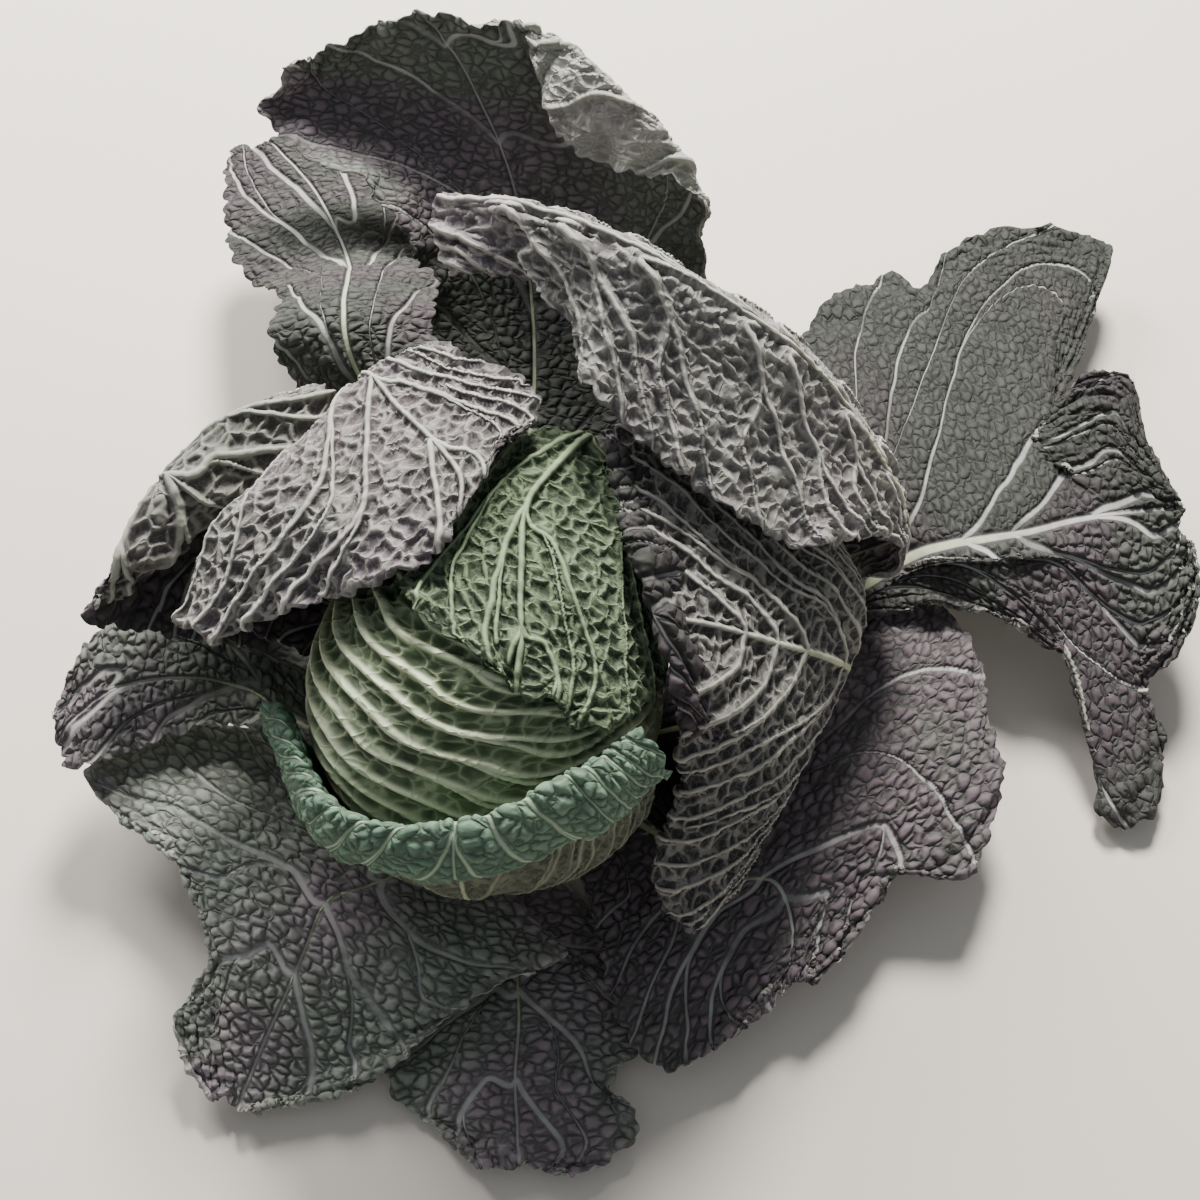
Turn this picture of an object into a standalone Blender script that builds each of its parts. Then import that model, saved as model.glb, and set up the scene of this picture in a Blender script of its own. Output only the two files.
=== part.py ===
"""Savoy cabbage: a round pale head on a cut stump, inside thirteen loose crinkled leaves.

Every leaf is one closed blade. Its form is a net of lines that run from the foot at the
stump to the tip, left to right as seen on the upper face with the tip away.
Coordinates are millimetres: X right, Y back, Z up, origin at the stump's cut face.
"""
import math
import random

import bmesh
import bpy
import numpy as np

MM = 0.001

STUMP_RADIUS = 22.0
STUMP_CUT_RADIUS = 20.5
STUMP_CHAMFER = 1.6
STUMP_HEIGHT = 29.7
STUMP_SIDES = 36
JOINT_GAP = 0.35

HEAD_CENTRE = (0.0, 2.0, 92.0)
HEAD_RADIUS = 61.0
HEAD_BOTTOM = 30.0
HEAD_RINGS = 24
HEAD_SECTORS = 36
HEAD_TILT = 14.0
HEAD_RIB = 1.3
HEAD_CRINKLE = 0.5
HEAD_WRAP_STEP = 2.0
HEAD_WRAP_FROM = 20.0
HEAD_WRAP_TO = 170.0
HEAD_WRAP_SWING = 25.0

BLADE_THICKNESS = 1.5
FOOT_THICKNESS = 5.0
RIB_THICKNESS = 1.6
BLISTER = 1.5
HOLLOW = 1.05
RIB_DEPTH = 1.7
SIDE_RIB_DEPTH = 1.1
SIDE_RIB_SPACING = 3

# Stations run from 0 at the foot of a leaf to 1 at its tip.
FOOT_STATION = 0.20
SMOOTH_STATION = 0.16
CRINKLED_STATION = 0.28
RIB_END_STATION = 0.55
MARGIN_RELIEF = 0.3
SAMPLES = 16


def shell(azimuth, elevation, radius):
    """Point at a distance from the centre of the head, by angles in degrees."""
    a = math.radians(azimuth)
    e = math.radians(elevation)
    return (
        HEAD_CENTRE[0] + radius * math.cos(e) * math.cos(a),
        HEAD_CENTRE[1] + radius * math.cos(e) * math.sin(a),
        HEAD_CENTRE[2] + radius * math.sin(e),
    )


def collar_line(azimuth, crest):
    """Line of the collar leaf: up the front of the head, then rolled outward at its crest."""
    return [
        shell(azimuth * 0.6 - 38, -60, 71),
        shell(azimuth * 0.85 - 14, -34, 71),
        shell(azimuth, -8, 71),
        shell(azimuth, crest - 12, 70.5),
        shell(azimuth, crest - 2, 72),
        shell(azimuth, crest + 1, 76),
        shell(azimuth, crest - 5, 80),
        shell(azimuth, crest - 14, 80),
        shell(azimuth, crest - 19, 77.5),
    ]


# Each leaf: foot (azimuth, height, half width in degrees), lines, rows along, columns
# between neighbouring lines, the line that carries the midrib, frill of the margin.
LEAVES = {
    "leaf_far_right": dict(
        foot=(27, 6, 17), rows=25, columns=3, midrib=2, frill=3.0,
        lines=[
            [(84, 52, 18), (134, 82, 29), (140, 98, 36), (126, 140, 36), (133, 207, 34),
             (172, 242, 30), (189, 234, 30), (209, 262, 30), (245, 271, 28), (278, 265, 26),
             (269, 229, 28), (249, 184, 32), (233, 155, 40), (248, 167, 54), (267, 169, 52),
             (271, 139, 48), (282, 112, 43)],
            [(84, 49, 18), (135, 76, 29), (152, 92, 40), (151, 120, 43), (160, 150, 43),
             (185, 180, 42), (205, 205, 38), (232, 222, 34), (245, 205, 34), (238, 170, 36),
             (226, 138, 44), (240, 135, 50), (255, 138, 52), (265, 125, 48), (280, 110, 44)],
            [(85, 45, 18), (136, 70, 29), (166, 85, 43), (183, 88, 50), (197, 90, 51),
             (216, 94, 50), (233, 99, 49), (251, 103, 48), (268, 106, 46), (281, 108, 43)],
            [(86, 42, 18), (137, 64, 29), (172, 77, 41), (190, 76, 47), (210, 74, 45),
             (232, 72, 41), (248, 66, 38), (262, 68, 38), (274, 82, 41), (281, 98, 42)],
            [(87, 39, 18), (139, 58, 29), (180, 66, 41), (206, 58, 38), (231, 45, 32),
             (246, 34, 24), (255, 20, 17), (255, 5, 12), (243, -9, 8), (247, -19, 7),
             (262, -13, 9), (268, 5, 12), (266, 21, 17), (259, 35, 23), (273, 46, 32),
             (284, 68, 40), (285, 91, 42)],
        ],
    ),
    "leaf_lower_right": dict(
        foot=(-15, 6, 18), rows=20, columns=3, midrib=2, frill=2.6,
        lines=[
            [(70, 16, 9), (120, 46, 14), (158, 78, 25), (180, 71, 29), (192, 48, 32),
             (195, 20, 33), (197, -5, 32), (190, -30, 29), (181, -46, 26), (166, -44, 27),
             (156, -42, 27), (143, -61, 26), (131, -75, 24), (118, -86, 22)],
            [(60, 2, 12), (98, 12, 23), (132, 24, 31), (154, 22, 34), (164, 2, 34),
             (158, -18, 33), (146, -34, 31), (132, -50, 28), (120, -68, 25), (114, -84, 22)],
            [(50, -16, 13), (76, -34, 22), (91, -46, 28), (106, -48, 30), (112, -58, 28),
             (113, -72, 25), (108, -88, 21)],
            [(40, -24, 13), (58, -46, 20), (66, -64, 24), (76, -76, 24), (86, -84, 23),
             (94, -92, 22), (101, -96, 21)],
            [(30, -34, 12), (38, -56, 18), (42, -76, 19), (46, -93, 18), (56, -109, 17),
             (67, -115, 17), (80, -110, 18), (92, -103, 20)],
        ],
    ),
    "leaf_front": dict(
        foot=(-75, 5.5, 17), rows=16, columns=3, midrib=2, frill=1.6,
        lines=[
            [(29, -42, 5), (44, -60, 6), (53, -80, 8), (56, -104, 8), (43, -119, 12),
             (54, -130, 12), (54, -139, 9), (37, -149, 8), (24, -150, 8)],
            [(13, -46, 7), (24, -65, 8), (32, -82, 10), (34, -104, 11), (28, -121, 12),
             (32, -136, 10), (22, -149, 8)],
            [(6, -47, 7), (9, -66, 8), (10, -82, 10), (11, -98, 12), (10, -118, 12),
             (11, -134, 10), (12, -149, 8)],
            [(-1, -48, 7), (-4, -67, 8), (-10, -84, 9), (-16, -102, 10), (-14, -120, 10),
             (-6, -136, 9), (4, -149, 8)],
            [(-8, -48, 6.5), (-16, -68, 7), (-22, -88, 7), (-39, -110, 7), (-34, -125, 7),
             (-18, -134, 7), (-6, -146, 7), (-1, -149, 7)],
        ],
    ),
    "leaf_front_left": dict(
        foot=(-128, 6, 17), rows=20, columns=3, midrib=2, frill=2.4,
        lines=[
            [(2, -40, 16), (17, -62, 25), (27, -78, 31), (4, -87, 28), (-18, -99, 21),
             (-33, -113, 16), (-53, -123, 11), (-71, -126, 9), (-84, -129, 9)],
            [(-12, -44, 17), (-16, -62, 25), (-21, -73, 29), (-32, -85, 25), (-45, -98, 18),
             (-60, -112, 13), (-74, -123, 9), (-88, -129, 9)],
            [(-28, -36, 16), (-46, -48, 25), (-61, -56, 31), (-68, -75, 32), (-75, -92, 27),
             (-83, -107, 18), (-92, -128, 9)],
            [(-44, -20, 13), (-74, -24, 25), (-100, -32, 37), (-96, -57, 38), (-93, -78, 35),
             (-96, -98, 25), (-98, -124, 10)],
            [(-54, 2, 9), (-98, 17, 22), (-140, 17, 30), (-158, -5, 34), (-143, -24, 35),
             (-124, -34, 35), (-113, -50, 34), (-105, -66, 32), (-104, -80, 28),
             (-114, -98, 20), (-111, -113, 14), (-102, -122, 10)],
        ],
    ),
    "leaf_left": dict(
        foot=(178, 6, 17), rows=16, columns=4, midrib=1, frill=3.0,
        lines=[
            [(-50, -2, 19), (-80, 2, 32), (-100, 10, 42), (-115, 8, 46), (-132, 2, 47),
             (-151, -8, 46), (-163, -8, 45)],
            [(-52, 9, 18), (-82, 19, 32), (-100, 27, 43), (-122, 27, 51), (-144, 22, 53),
             (-160, 11, 50), (-167, 2, 47)],
            [(-48, 22, 17), (-80, 40, 32), (-103, 54, 45), (-127, 60, 54), (-148, 52, 58),
             (-159, 38, 56), (-168, 15, 50)],
        ],
    ),
    "leaf_left_folded": dict(
        foot=(153, 15.5, 17), rows=20, columns=3, midrib=2, frill=2.6,
        lines=[
            [(-52, 24, 32), (-92, 38, 52), (-126, 37, 68), (-144, 33, 82), (-150, 34, 90),
             (-147, 40, 88), (-142, 42, 86)],
            [(-52, 34, 32), (-95, 58, 52), (-128, 56, 76), (-138, 53, 94), (-135, 51, 105),
             (-127, 50, 102), (-120, 52, 96)],
            [(-52, 44, 31), (-90, 80, 52), (-116, 86, 84), (-122, 82, 104), (-116, 77, 116),
             (-106, 72, 110), (-96, 74, 103)],
            [(-44, 53, 30), (-76, 94, 52), (-93, 108, 84), (-98, 108, 107),
             (-92, 101, 120), (-80, 91, 114), (-71, 84, 107)],
            [(-36, 58, 30), (-62, 100, 50), (-70, 115, 84), (-68, 118, 108),
             (-61, 113, 121), (-54, 104, 119), (-49, 97, 113)],
        ],
    ),
    "leaf_back_left": dict(
        foot=(116, 15.5, 15), rows=21, columns=4, midrib=1, frill=3.0,
        lines=[
            [(-30, 66, 31), (-52, 112, 58), (-80, 134, 98), (-87, 148, 108), (-89, 174, 100),
             (-94, 192, 82), (-106, 206, 66), (-118, 224, 58), (-127, 250, 56),
             (-131, 278, 54), (-128, 298, 52)],
            [(-23, 70, 31), (-38, 114, 60), (-56, 136, 106), (-60, 158, 114), (-62, 186, 100),
             (-67, 210, 78), (-74, 234, 66), (-86, 262, 60), (-100, 284, 56),
             (-116, 303, 51)],
            [(-15, 73, 30), (-22, 116, 62), (-29, 135, 104), (-30, 157, 109), (-32, 184, 98),
             (-41, 205, 82), (-44, 228, 68), (-46, 254, 60), (-66, 286, 55),
             (-98, 304, 50)],
        ],
    ),
    "leaf_back": dict(
        foot=(92, 6, 18), rows=22, columns=3, midrib=2, frill=3.2,
        lines=[
            [(-17, 70, 13), (-40, 115, 20), (-50, 152, 29), (-48, 187, 45), (-36, 208, 70),
             (-52, 231, 95), (-81, 250, 96), (-108, 278, 98), (-98, 279, 107),
             (-84, 281, 117)],
            [(-6, 72, 14), (-9, 122, 24), (-9, 162, 38), (-10, 204, 55), (-19, 244, 77),
             (-42, 272, 92), (-64, 287, 108), (-75, 287, 125)],
            [(3, 75, 15), (7, 125, 26), (12, 170, 40), (10, 215, 58), (2, 250, 86),
             (-14, 272, 118), (-26, 281, 136), (-34, 284, 144)],
            [(12, 72, 15), (24, 122, 26), (36, 170, 42), (42, 212, 60), (42, 242, 90),
             (28, 260, 122), (12, 270, 142), (0, 274, 149)],
            [(22, 68, 16), (44, 112, 30), (64, 158, 50), (76, 188, 78), (80, 209, 106),
             (72, 225, 130), (57, 234, 142), (40, 247, 150), (22, 262, 152),
             (10, 270, 151)],
            [(28, 64, 16), (56, 104, 31), (76, 150, 54), (83, 182, 84), (84, 202, 108),
             (72, 214, 125), (54, 218, 123), (34, 226, 124), (20, 240, 135),
             (13, 260, 147)],
        ],
    ),
    "leaf_hood": dict(
        foot=(50, 15.5, 17), rows=25, columns=3, midrib=2, frill=3.4,
        lines=[
            [(42, 52, 26), (90, 84, 42), (138, 104, 52), (146, 120, 64), (132, 138, 78),
             (112, 155, 90), (90, 166, 99), (66, 174, 111), (39, 178, 126), (14, 172, 143),
             (-10, 163, 162)],
            [(44, 49, 26), (94, 78, 42), (144, 92, 56), (156, 98, 80), (136, 112, 112),
             (116, 120, 136), (94, 127, 152), (66, 134, 168), (40, 143, 177), (14, 149, 180),
             (-12, 153, 177)],
            [(46, 46, 26), (97, 72, 42), (148, 80, 58), (158, 80, 82), (134, 90, 130),
             (111, 97, 162), (88, 102, 181), (62, 110, 196), (38, 121, 201), (10, 135, 198),
             (-15, 146, 187)],
            [(48, 43, 26), (100, 66, 43), (150, 70, 62), (154, 70, 90), (128, 70, 130),
             (102, 74, 156), (82, 82, 173), (60, 92, 186), (38, 106, 192), (10, 128, 191),
             (-17, 137, 182)],
            [(50, 40, 26), (102, 60, 44), (150, 62, 68), (149, 62, 98), (130, 46, 123),
             (110, 38, 136), (89, 41, 147), (70, 50, 160), (46, 66, 172), (34, 80, 177),
             (30, 100, 180), (20, 115, 180), (4, 122, 178), (-14, 126, 175)],
        ],
    ),
    "leaf_inner_right": dict(
        foot=(8, 25, 17), rows=21, columns=3, midrib=2, frill=2.4,
        lines=[
            [(52, 26, 36), (94, 46, 54), (122, 70, 80), (114, 78, 112), (88, 80, 138),
             (62, 78, 151), (43, 72, 156), (49, 66, 158), (57, 61, 152)],
            [(56, 18, 36), (98, 30, 52), (136, 42, 78), (128, 42, 102), (100, 36, 124),
             (72, 32, 142), (50, 28, 153), (56, 25, 155), (66, 22, 146)],
            [(58, 9, 35), (96, 14, 50), (130, 20, 70), (124, 14, 94), (100, 9, 118),
             (78, 6, 136), (58, 4, 147), (64, 1, 149), (74, -2, 137)],
            [(52, -4, 34), (82, -12, 46), (110, -18, 60), (106, -26, 80), (95, -26, 100),
             (82, -23, 118), (66, -21, 133), (71, -22, 134), (79, -22, 121)],
            [(44, -14, 33), (66, -34, 42), (88, -54, 49), (75, -73, 50), (63, -66, 57),
             (60, -53, 72), (68, -40, 86), (75, -30, 103), (80, -28, 113)],
        ],
    ),
    "leaf_left_wrapper": dict(
        foot=(140, 25, 17), rows=19, columns=3, midrib=3, frill=2.4,
        lines=[
            [shell(160, -58, 70), shell(156, -32, 78), (-90, 30, 84), (-106, 22, 104),
             (-107, 15, 118), (-99, 11, 123), (-90, 8, 123)],
            [shell(151, -58, 70), shell(148, -32, 78), (-84, 48, 86), (-97, 43, 114),
             (-90, 44, 138), (-77, 28, 143), (-66, 14, 142), (-60, 9, 142)],
            [shell(141, -58, 70), shell(139, -32, 78), (-70, 64, 86), (-75, 72, 120),
             (-66, 62, 150), (-46, 44, 160), (-26, 26, 167), (-14, 13, 168)],
            [shell(128, -58, 70), shell(123, -32, 78), (-44, 82, 88), (-48, 92, 125),
             (-41, 93, 157), (-28, 74, 165), (-14, 56, 169), (-5, 42, 171), (-4, 30, 171)],
            [shell(115, -58, 70), shell(107, -32, 78), (-20, 88, 88), (-21, 104, 125),
             (-18, 108, 155), (-4, 99, 162), (14, 86, 163), (20, 74, 166), (12, 60, 170)],
        ],
    ),
    "leaf_collar": dict(
        foot=(-95, 25, 20), rows=13, columns=4, midrib=2, frill=1.4,
        lines=[
            collar_line(-32, 32), collar_line(-58, 37), collar_line(-95, 30),
            collar_line(-132, 18), collar_line(-172, 11),
        ],
    ),
    "leaf_top": dict(
        foot=(68, 25, 17), rows=17, columns=3, midrib=2, frill=1.6,
        lines=[
            [shell(82, -58, 69), shell(88, -32, 69), (-4, 75, 92), (-6, 78, 125),
             (-6, 66, 146), (-14, 40, 157), (-22, 16, 158), (-23, 5, 159), (-12, -5, 160),
             (0, -14, 159), (9, -22, 156)],
            [shell(74, -58, 69), shell(77, -32, 69), (12, 76, 92), (14, 82, 126),
             (12, 70, 150), (4, 42, 159), (0, 18, 160), (4, -8, 160), (11, -23, 155)],
            [shell(64, -58, 69), shell(63, -32, 69), (32, 68, 92), (38, 76, 126),
             (36, 72, 148), (25, 55, 156), (16, 38, 159), (15, 14, 160), (15, -12, 157),
             (14, -26, 152)],
            [shell(54, -58, 69), shell(47, -32, 69), (51, 50, 92), (56, 54, 122),
             (51, 44, 142), (42, 22, 150), (37, 4, 152), (34, -14, 149), (26, -28, 149)],
            [shell(42, -58, 69), shell(32, -32, 69), (63, 31, 92), (64, 26, 114),
             (62, 10, 124), (62, -8, 124), (57, -20, 129), (46, -31, 136), (32, -34, 144)],
        ],
    ),
}

LOOKS = {
    "outer_leaf": ((0.13, 0.15, 0.13), 0.62),
    "hood_leaf": ((0.30, 0.32, 0.29), 0.66),
    "collar_leaf": ((0.10, 0.20, 0.13), 0.58),
    "pale_leaf": ((0.36, 0.46, 0.24), 0.55),
    "head": ((0.50, 0.56, 0.30), 0.55),
    "stump": ((0.62, 0.62, 0.46), 0.60),
}

LEAF_LOOK = {
    "leaf_hood": "hood_leaf",
    "leaf_inner_right": "hood_leaf",
    "leaf_left_wrapper": "hood_leaf",
    "leaf_collar": "collar_leaf",
    "leaf_top": "pale_leaf",
}


def clear_scene():
    for item in list(bpy.data.objects):
        bpy.data.objects.remove(item, do_unlink=True)


def material(name):
    colour, roughness = LOOKS[name]
    look = bpy.data.materials.get(name)
    if look is None:
        look = bpy.data.materials.new(name)
        look.use_nodes = True
        shader = look.node_tree.nodes["Principled BSDF"]
        shader.inputs["Base Color"].default_value = (*colour, 1.0)
        shader.inputs["Roughness"].default_value = roughness
        shader.inputs["Metallic"].default_value = 0.0
        look.diffuse_color = (*colour, 1.0)
    return look


def add_object(name, vertices, faces, look):
    """Mesh object from millimetre vertices, faces turned outward."""
    mesh = bpy.data.meshes.new(name)
    mesh.from_pydata([tuple(float(c) * MM for c in v) for v in vertices], [], faces)
    work = bmesh.new()
    work.from_mesh(mesh)
    bmesh.ops.recalc_face_normals(work, faces=work.faces)
    work.to_mesh(mesh)
    work.free()
    mesh.materials.append(material(look))
    item = bpy.data.objects.new(name, mesh)
    bpy.context.scene.collection.objects.link(item)
    return item


def smooth_line(points, stations):
    """Catmull-Rom curve through points; returns dense samples and their stations."""
    p = np.asarray(points, float)
    first = 2 * p[0] - p[1]
    last = 2 * p[-1] - p[-2]
    p = np.vstack([first, p, last])
    samples = []
    marks = []
    for k in range(1, len(p) - 2):
        for step in range(SAMPLES):
            t = step / SAMPLES
            a, b, c, d = p[k - 1], p[k], p[k + 1], p[k + 2]
            samples.append(0.5 * (2 * b + (c - a) * t + (2 * a - 5 * b + 4 * c - d) * t * t
                                  + (3 * b - a - 3 * c + d) * t ** 3))
            marks.append(stations[k - 1] + (stations[k] - stations[k - 1]) * t)
    samples.append(p[-2])
    marks.append(stations[-1])
    return np.array(samples), np.array(marks)


def line_stations(points):
    """Stations 0 to 1: the foot takes a fixed share, the rest goes by length."""
    p = np.asarray(points, float)
    lengths = np.linalg.norm(np.diff(p, axis=0), axis=1)
    foot = np.cumsum(lengths[:2]) / lengths[:2].sum() * FOOT_STATION
    blade = FOOT_STATION + np.cumsum(lengths[2:]) / lengths[2:].sum() * (1 - FOOT_STATION)
    return [0.0, *foot, *blade]


def leaf_surface(leaf):
    """Grid of points of the leaf, rows from foot to tip, columns left to right."""
    azimuth, height, half = leaf["foot"]
    count = len(leaf["lines"])
    rows = np.linspace(0, 1, leaf["rows"] + 1)
    table = []
    for k, line in enumerate(leaf["lines"]):
        angle = math.radians(azimuth + half * (1 - 2 * k / (count - 1)))
        reach = STUMP_RADIUS + JOINT_GAP
        foot = (reach * math.cos(angle), reach * math.sin(angle), height)
        points = [foot, *line]
        dense, marks = smooth_line(points, line_stations(points))
        table.append(np.stack([np.interp(rows, marks, dense[:, c]) for c in range(3)], 1))
    table = np.stack(table, 1)
    columns = np.linspace(0, count - 1, (count - 1) * leaf["columns"] + 1)
    grid = []
    for row in table:
        dense, marks = smooth_line(row, list(range(count)))
        grid.append(np.stack([np.interp(columns, marks, dense[:, c]) for c in range(3)], 1))
    return np.array(grid)


def surface_normals(grid):
    along = np.gradient(grid, axis=0)
    across = np.gradient(grid, axis=1)
    normal = np.cross(across, along)
    normal /= np.maximum(np.linalg.norm(normal, axis=2, keepdims=True), 1e-9)
    normal[0] = (0.0, 0.0, 1.0)
    return normal


def add_relief(grid, normals, leaf, chance):
    """Raise blisters, sink the veins into the upper face and wave the margin."""
    rows, columns = grid.shape[:2]
    rib = leaf["midrib"] * leaf["columns"]
    out = grid.copy()
    thickness = np.full((rows, columns), BLADE_THICKNESS)
    for i in range(rows):
        station = i / (rows - 1)
        blade = (station - SMOOTH_STATION) / (CRINKLED_STATION - SMOOTH_STATION)
        blade = min(1.0, max(0.0, blade))
        rib_share = max(0.0, 1 - station / RIB_END_STATION)
        for j in range(columns):
            lift = (BLISTER if (i + j) % 2 else -HOLLOW) * chance.uniform(0.8, 1.2)
            if j == rib:
                lift = -RIB_DEPTH
            elif i % SIDE_RIB_SPACING == 0:
                lift -= SIDE_RIB_DEPTH
            wave = 0.0
            on_side = j in (0, columns - 1)
            if on_side or i == rows - 1:
                turn = i if on_side else j
                wave = leaf["frill"] * (1 if turn % 2 else -1) * chance.uniform(0.7, 1.1)
                lift *= MARGIN_RELIEF
            out[i, j] += normals[i, j] * (lift + wave) * blade
            thickness[i, j] += (FOOT_THICKNESS - BLADE_THICKNESS) * (1 - blade)
            if j == rib:
                thickness[i, j] += RIB_THICKNESS * rib_share * blade
    return out, thickness


def solid_faces(rows, columns):
    """Triangles of a closed blade: upper face, lower face and the rim between."""
    layer = rows * columns
    faces = []
    for i in range(rows - 1):
        for j in range(columns - 1):
            a = i * columns + j
            b = a + 1
            c = a + columns + 1
            d = a + columns
            halves = [(a, b, c), (a, c, d)] if (i + j) % 2 else [(a, b, d), (b, c, d)]
            for half in halves:
                faces.append(half)
                faces.append(tuple(layer + v for v in reversed(half)))
    border = [j for j in range(columns)]
    border += [i * columns + columns - 1 for i in range(1, rows)]
    border += [(rows - 1) * columns + j for j in range(columns - 2, -1, -1)]
    border += [i * columns for i in range(rows - 2, 0, -1)]
    for k, a in enumerate(border):
        b = border[(k + 1) % len(border)]
        faces.append((b, a, layer + a))
        faces.append((b, layer + a, layer + b))
    return faces


def build_leaf(name, leaf, seed):
    chance = random.Random(seed)
    grid = leaf_surface(leaf)
    normals = surface_normals(grid)
    middle, thickness = add_relief(grid, normals, leaf, chance)
    half = normals * (thickness / 2)[:, :, None]
    rows, columns = grid.shape[:2]
    vertices = np.vstack([(middle + half).reshape(-1, 3), (middle - half).reshape(-1, 3)])
    look = LEAF_LOOK.get(name, "outer_leaf")
    return add_object(name, vertices, solid_faces(rows, columns), look)


def head_radius(azimuth, elevation, ring):
    """Radius of the head: parallel ribs on the outer leaf and the step of a wrapping leaf."""
    rib = HEAD_RIB if ring % 2 else -HEAD_RIB
    edge = math.degrees(azimuth) - HEAD_WRAP_SWING * math.sin(3 * elevation)
    crinkle = HEAD_CRINKLE * math.sin(9 * azimuth + 5 * ring)
    if HEAD_WRAP_FROM < edge % 360 < HEAD_WRAP_TO:
        return HEAD_RADIUS + HEAD_WRAP_STEP + rib / 2 + crinkle
    return HEAD_RADIUS + rib + crinkle


def build_head():
    tilt = math.radians(HEAD_TILT)
    vertices = []
    for ring in range(1, HEAD_RINGS):
        elevation = math.pi / 2 - math.pi * ring / HEAD_RINGS
        for sector in range(HEAD_SECTORS):
            azimuth = 2 * math.pi * sector / HEAD_SECTORS
            radius = head_radius(azimuth, elevation, ring)
            x = radius * math.cos(elevation) * math.cos(azimuth)
            y = radius * math.cos(elevation) * math.sin(azimuth)
            z = radius * math.sin(elevation)
            turned = (x * math.cos(tilt) + z * math.sin(tilt),
                      y, z * math.cos(tilt) - x * math.sin(tilt))
            point = [HEAD_CENTRE[c] + turned[c] for c in range(3)]
            point[2] = max(point[2], HEAD_BOTTOM)
            vertices.append(point)
    top = len(vertices)
    for sign in (1, -1):
        point = [HEAD_CENTRE[0] + sign * HEAD_RADIUS * math.sin(tilt), HEAD_CENTRE[1],
                 HEAD_CENTRE[2] + sign * HEAD_RADIUS * math.cos(tilt)]
        point[2] = max(point[2], HEAD_BOTTOM)
        vertices.append(point)
    faces = []
    for ring in range(HEAD_RINGS - 2):
        for sector in range(HEAD_SECTORS):
            a = ring * HEAD_SECTORS + sector
            b = ring * HEAD_SECTORS + (sector + 1) % HEAD_SECTORS
            faces.append((a, a + HEAD_SECTORS, b + HEAD_SECTORS))
            faces.append((a, b + HEAD_SECTORS, b))
    last = (HEAD_RINGS - 2) * HEAD_SECTORS
    for sector in range(HEAD_SECTORS):
        following = (sector + 1) % HEAD_SECTORS
        faces.append((top, sector, following))
        faces.append((top + 1, last + following, last + sector))
    return add_object("head", vertices, faces, "head")


def build_stump():
    profile = [(STUMP_CUT_RADIUS, 0.0), (STUMP_RADIUS, STUMP_CHAMFER),
               (STUMP_RADIUS, STUMP_HEIGHT)]
    vertices = []
    for radius, height in profile:
        for side in range(STUMP_SIDES):
            angle = 2 * math.pi * side / STUMP_SIDES
            vertices.append((radius * math.cos(angle), radius * math.sin(angle), height))
    faces = [tuple(reversed(range(STUMP_SIDES)))]
    for level in range(len(profile) - 1):
        for side in range(STUMP_SIDES):
            following = (side + 1) % STUMP_SIDES
            a = level * STUMP_SIDES + side
            b = level * STUMP_SIDES + following
            faces.append((a, b, b + STUMP_SIDES, a + STUMP_SIDES))
    faces.append(tuple(range((len(profile) - 1) * STUMP_SIDES, len(profile) * STUMP_SIDES)))
    return add_object("stump", vertices, faces, "stump")


def build():
    clear_scene()
    build_stump()
    build_head()
    for seed, (name, leaf) in enumerate(LEAVES.items(), 1):
        build_leaf(name, leaf, seed)


build()
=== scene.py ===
"""Savoy cabbage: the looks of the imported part.

Each leaf is the part's own net of lines, drawn finely: a sheet with a waved, toothed margin
and its veins, then a Geometry Nodes net that raises the blisters between the veins.
Sizes are millimetres until MM turns them into metres.
"""

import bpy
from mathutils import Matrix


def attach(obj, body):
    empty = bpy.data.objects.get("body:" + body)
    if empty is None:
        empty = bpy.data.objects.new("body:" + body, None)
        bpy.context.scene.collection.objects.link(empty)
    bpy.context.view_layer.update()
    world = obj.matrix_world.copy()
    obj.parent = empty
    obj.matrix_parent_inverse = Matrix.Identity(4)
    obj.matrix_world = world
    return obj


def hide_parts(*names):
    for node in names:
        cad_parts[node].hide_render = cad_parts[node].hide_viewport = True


bl_info = {
    "name": "Savoy Cabbage",
    "version": (1, 0, 0),
    "blender": (4, 5, 0),
    "location": "View3D > Sidebar > Savoy Cabbage",
    "description": "Builds the crinkled leaves, ribbed head and stump of a savoy cabbage",
    "category": "Object",
}

import math
import random

import bpy
import numpy as np
from mathutils import Vector

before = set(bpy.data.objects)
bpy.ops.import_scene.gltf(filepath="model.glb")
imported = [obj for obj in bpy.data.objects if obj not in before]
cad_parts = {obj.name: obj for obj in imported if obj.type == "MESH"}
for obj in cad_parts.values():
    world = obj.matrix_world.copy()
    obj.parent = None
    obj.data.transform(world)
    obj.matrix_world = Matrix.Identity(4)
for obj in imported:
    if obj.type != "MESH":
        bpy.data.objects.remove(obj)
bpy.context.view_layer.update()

MM = 0.001

STUMP_RADIUS = 22.0
JOINT_GAP = 0.35
HEAD_CENTRE = (0.0, 2.0, 92.0)
HEAD_BOTTOM = 30.0

# Stations run from 0 at the foot of a leaf to 1 at its tip.
FOOT_STATION = 0.20
SAMPLES = 48


def shell(azimuth, elevation, radius):
    """Point at a distance from the centre of the head, by angles in degrees."""
    a = math.radians(azimuth)
    e = math.radians(elevation)
    return (
        HEAD_CENTRE[0] + radius * math.cos(e) * math.cos(a),
        HEAD_CENTRE[1] + radius * math.cos(e) * math.sin(a),
        HEAD_CENTRE[2] + radius * math.sin(e),
    )


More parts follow.
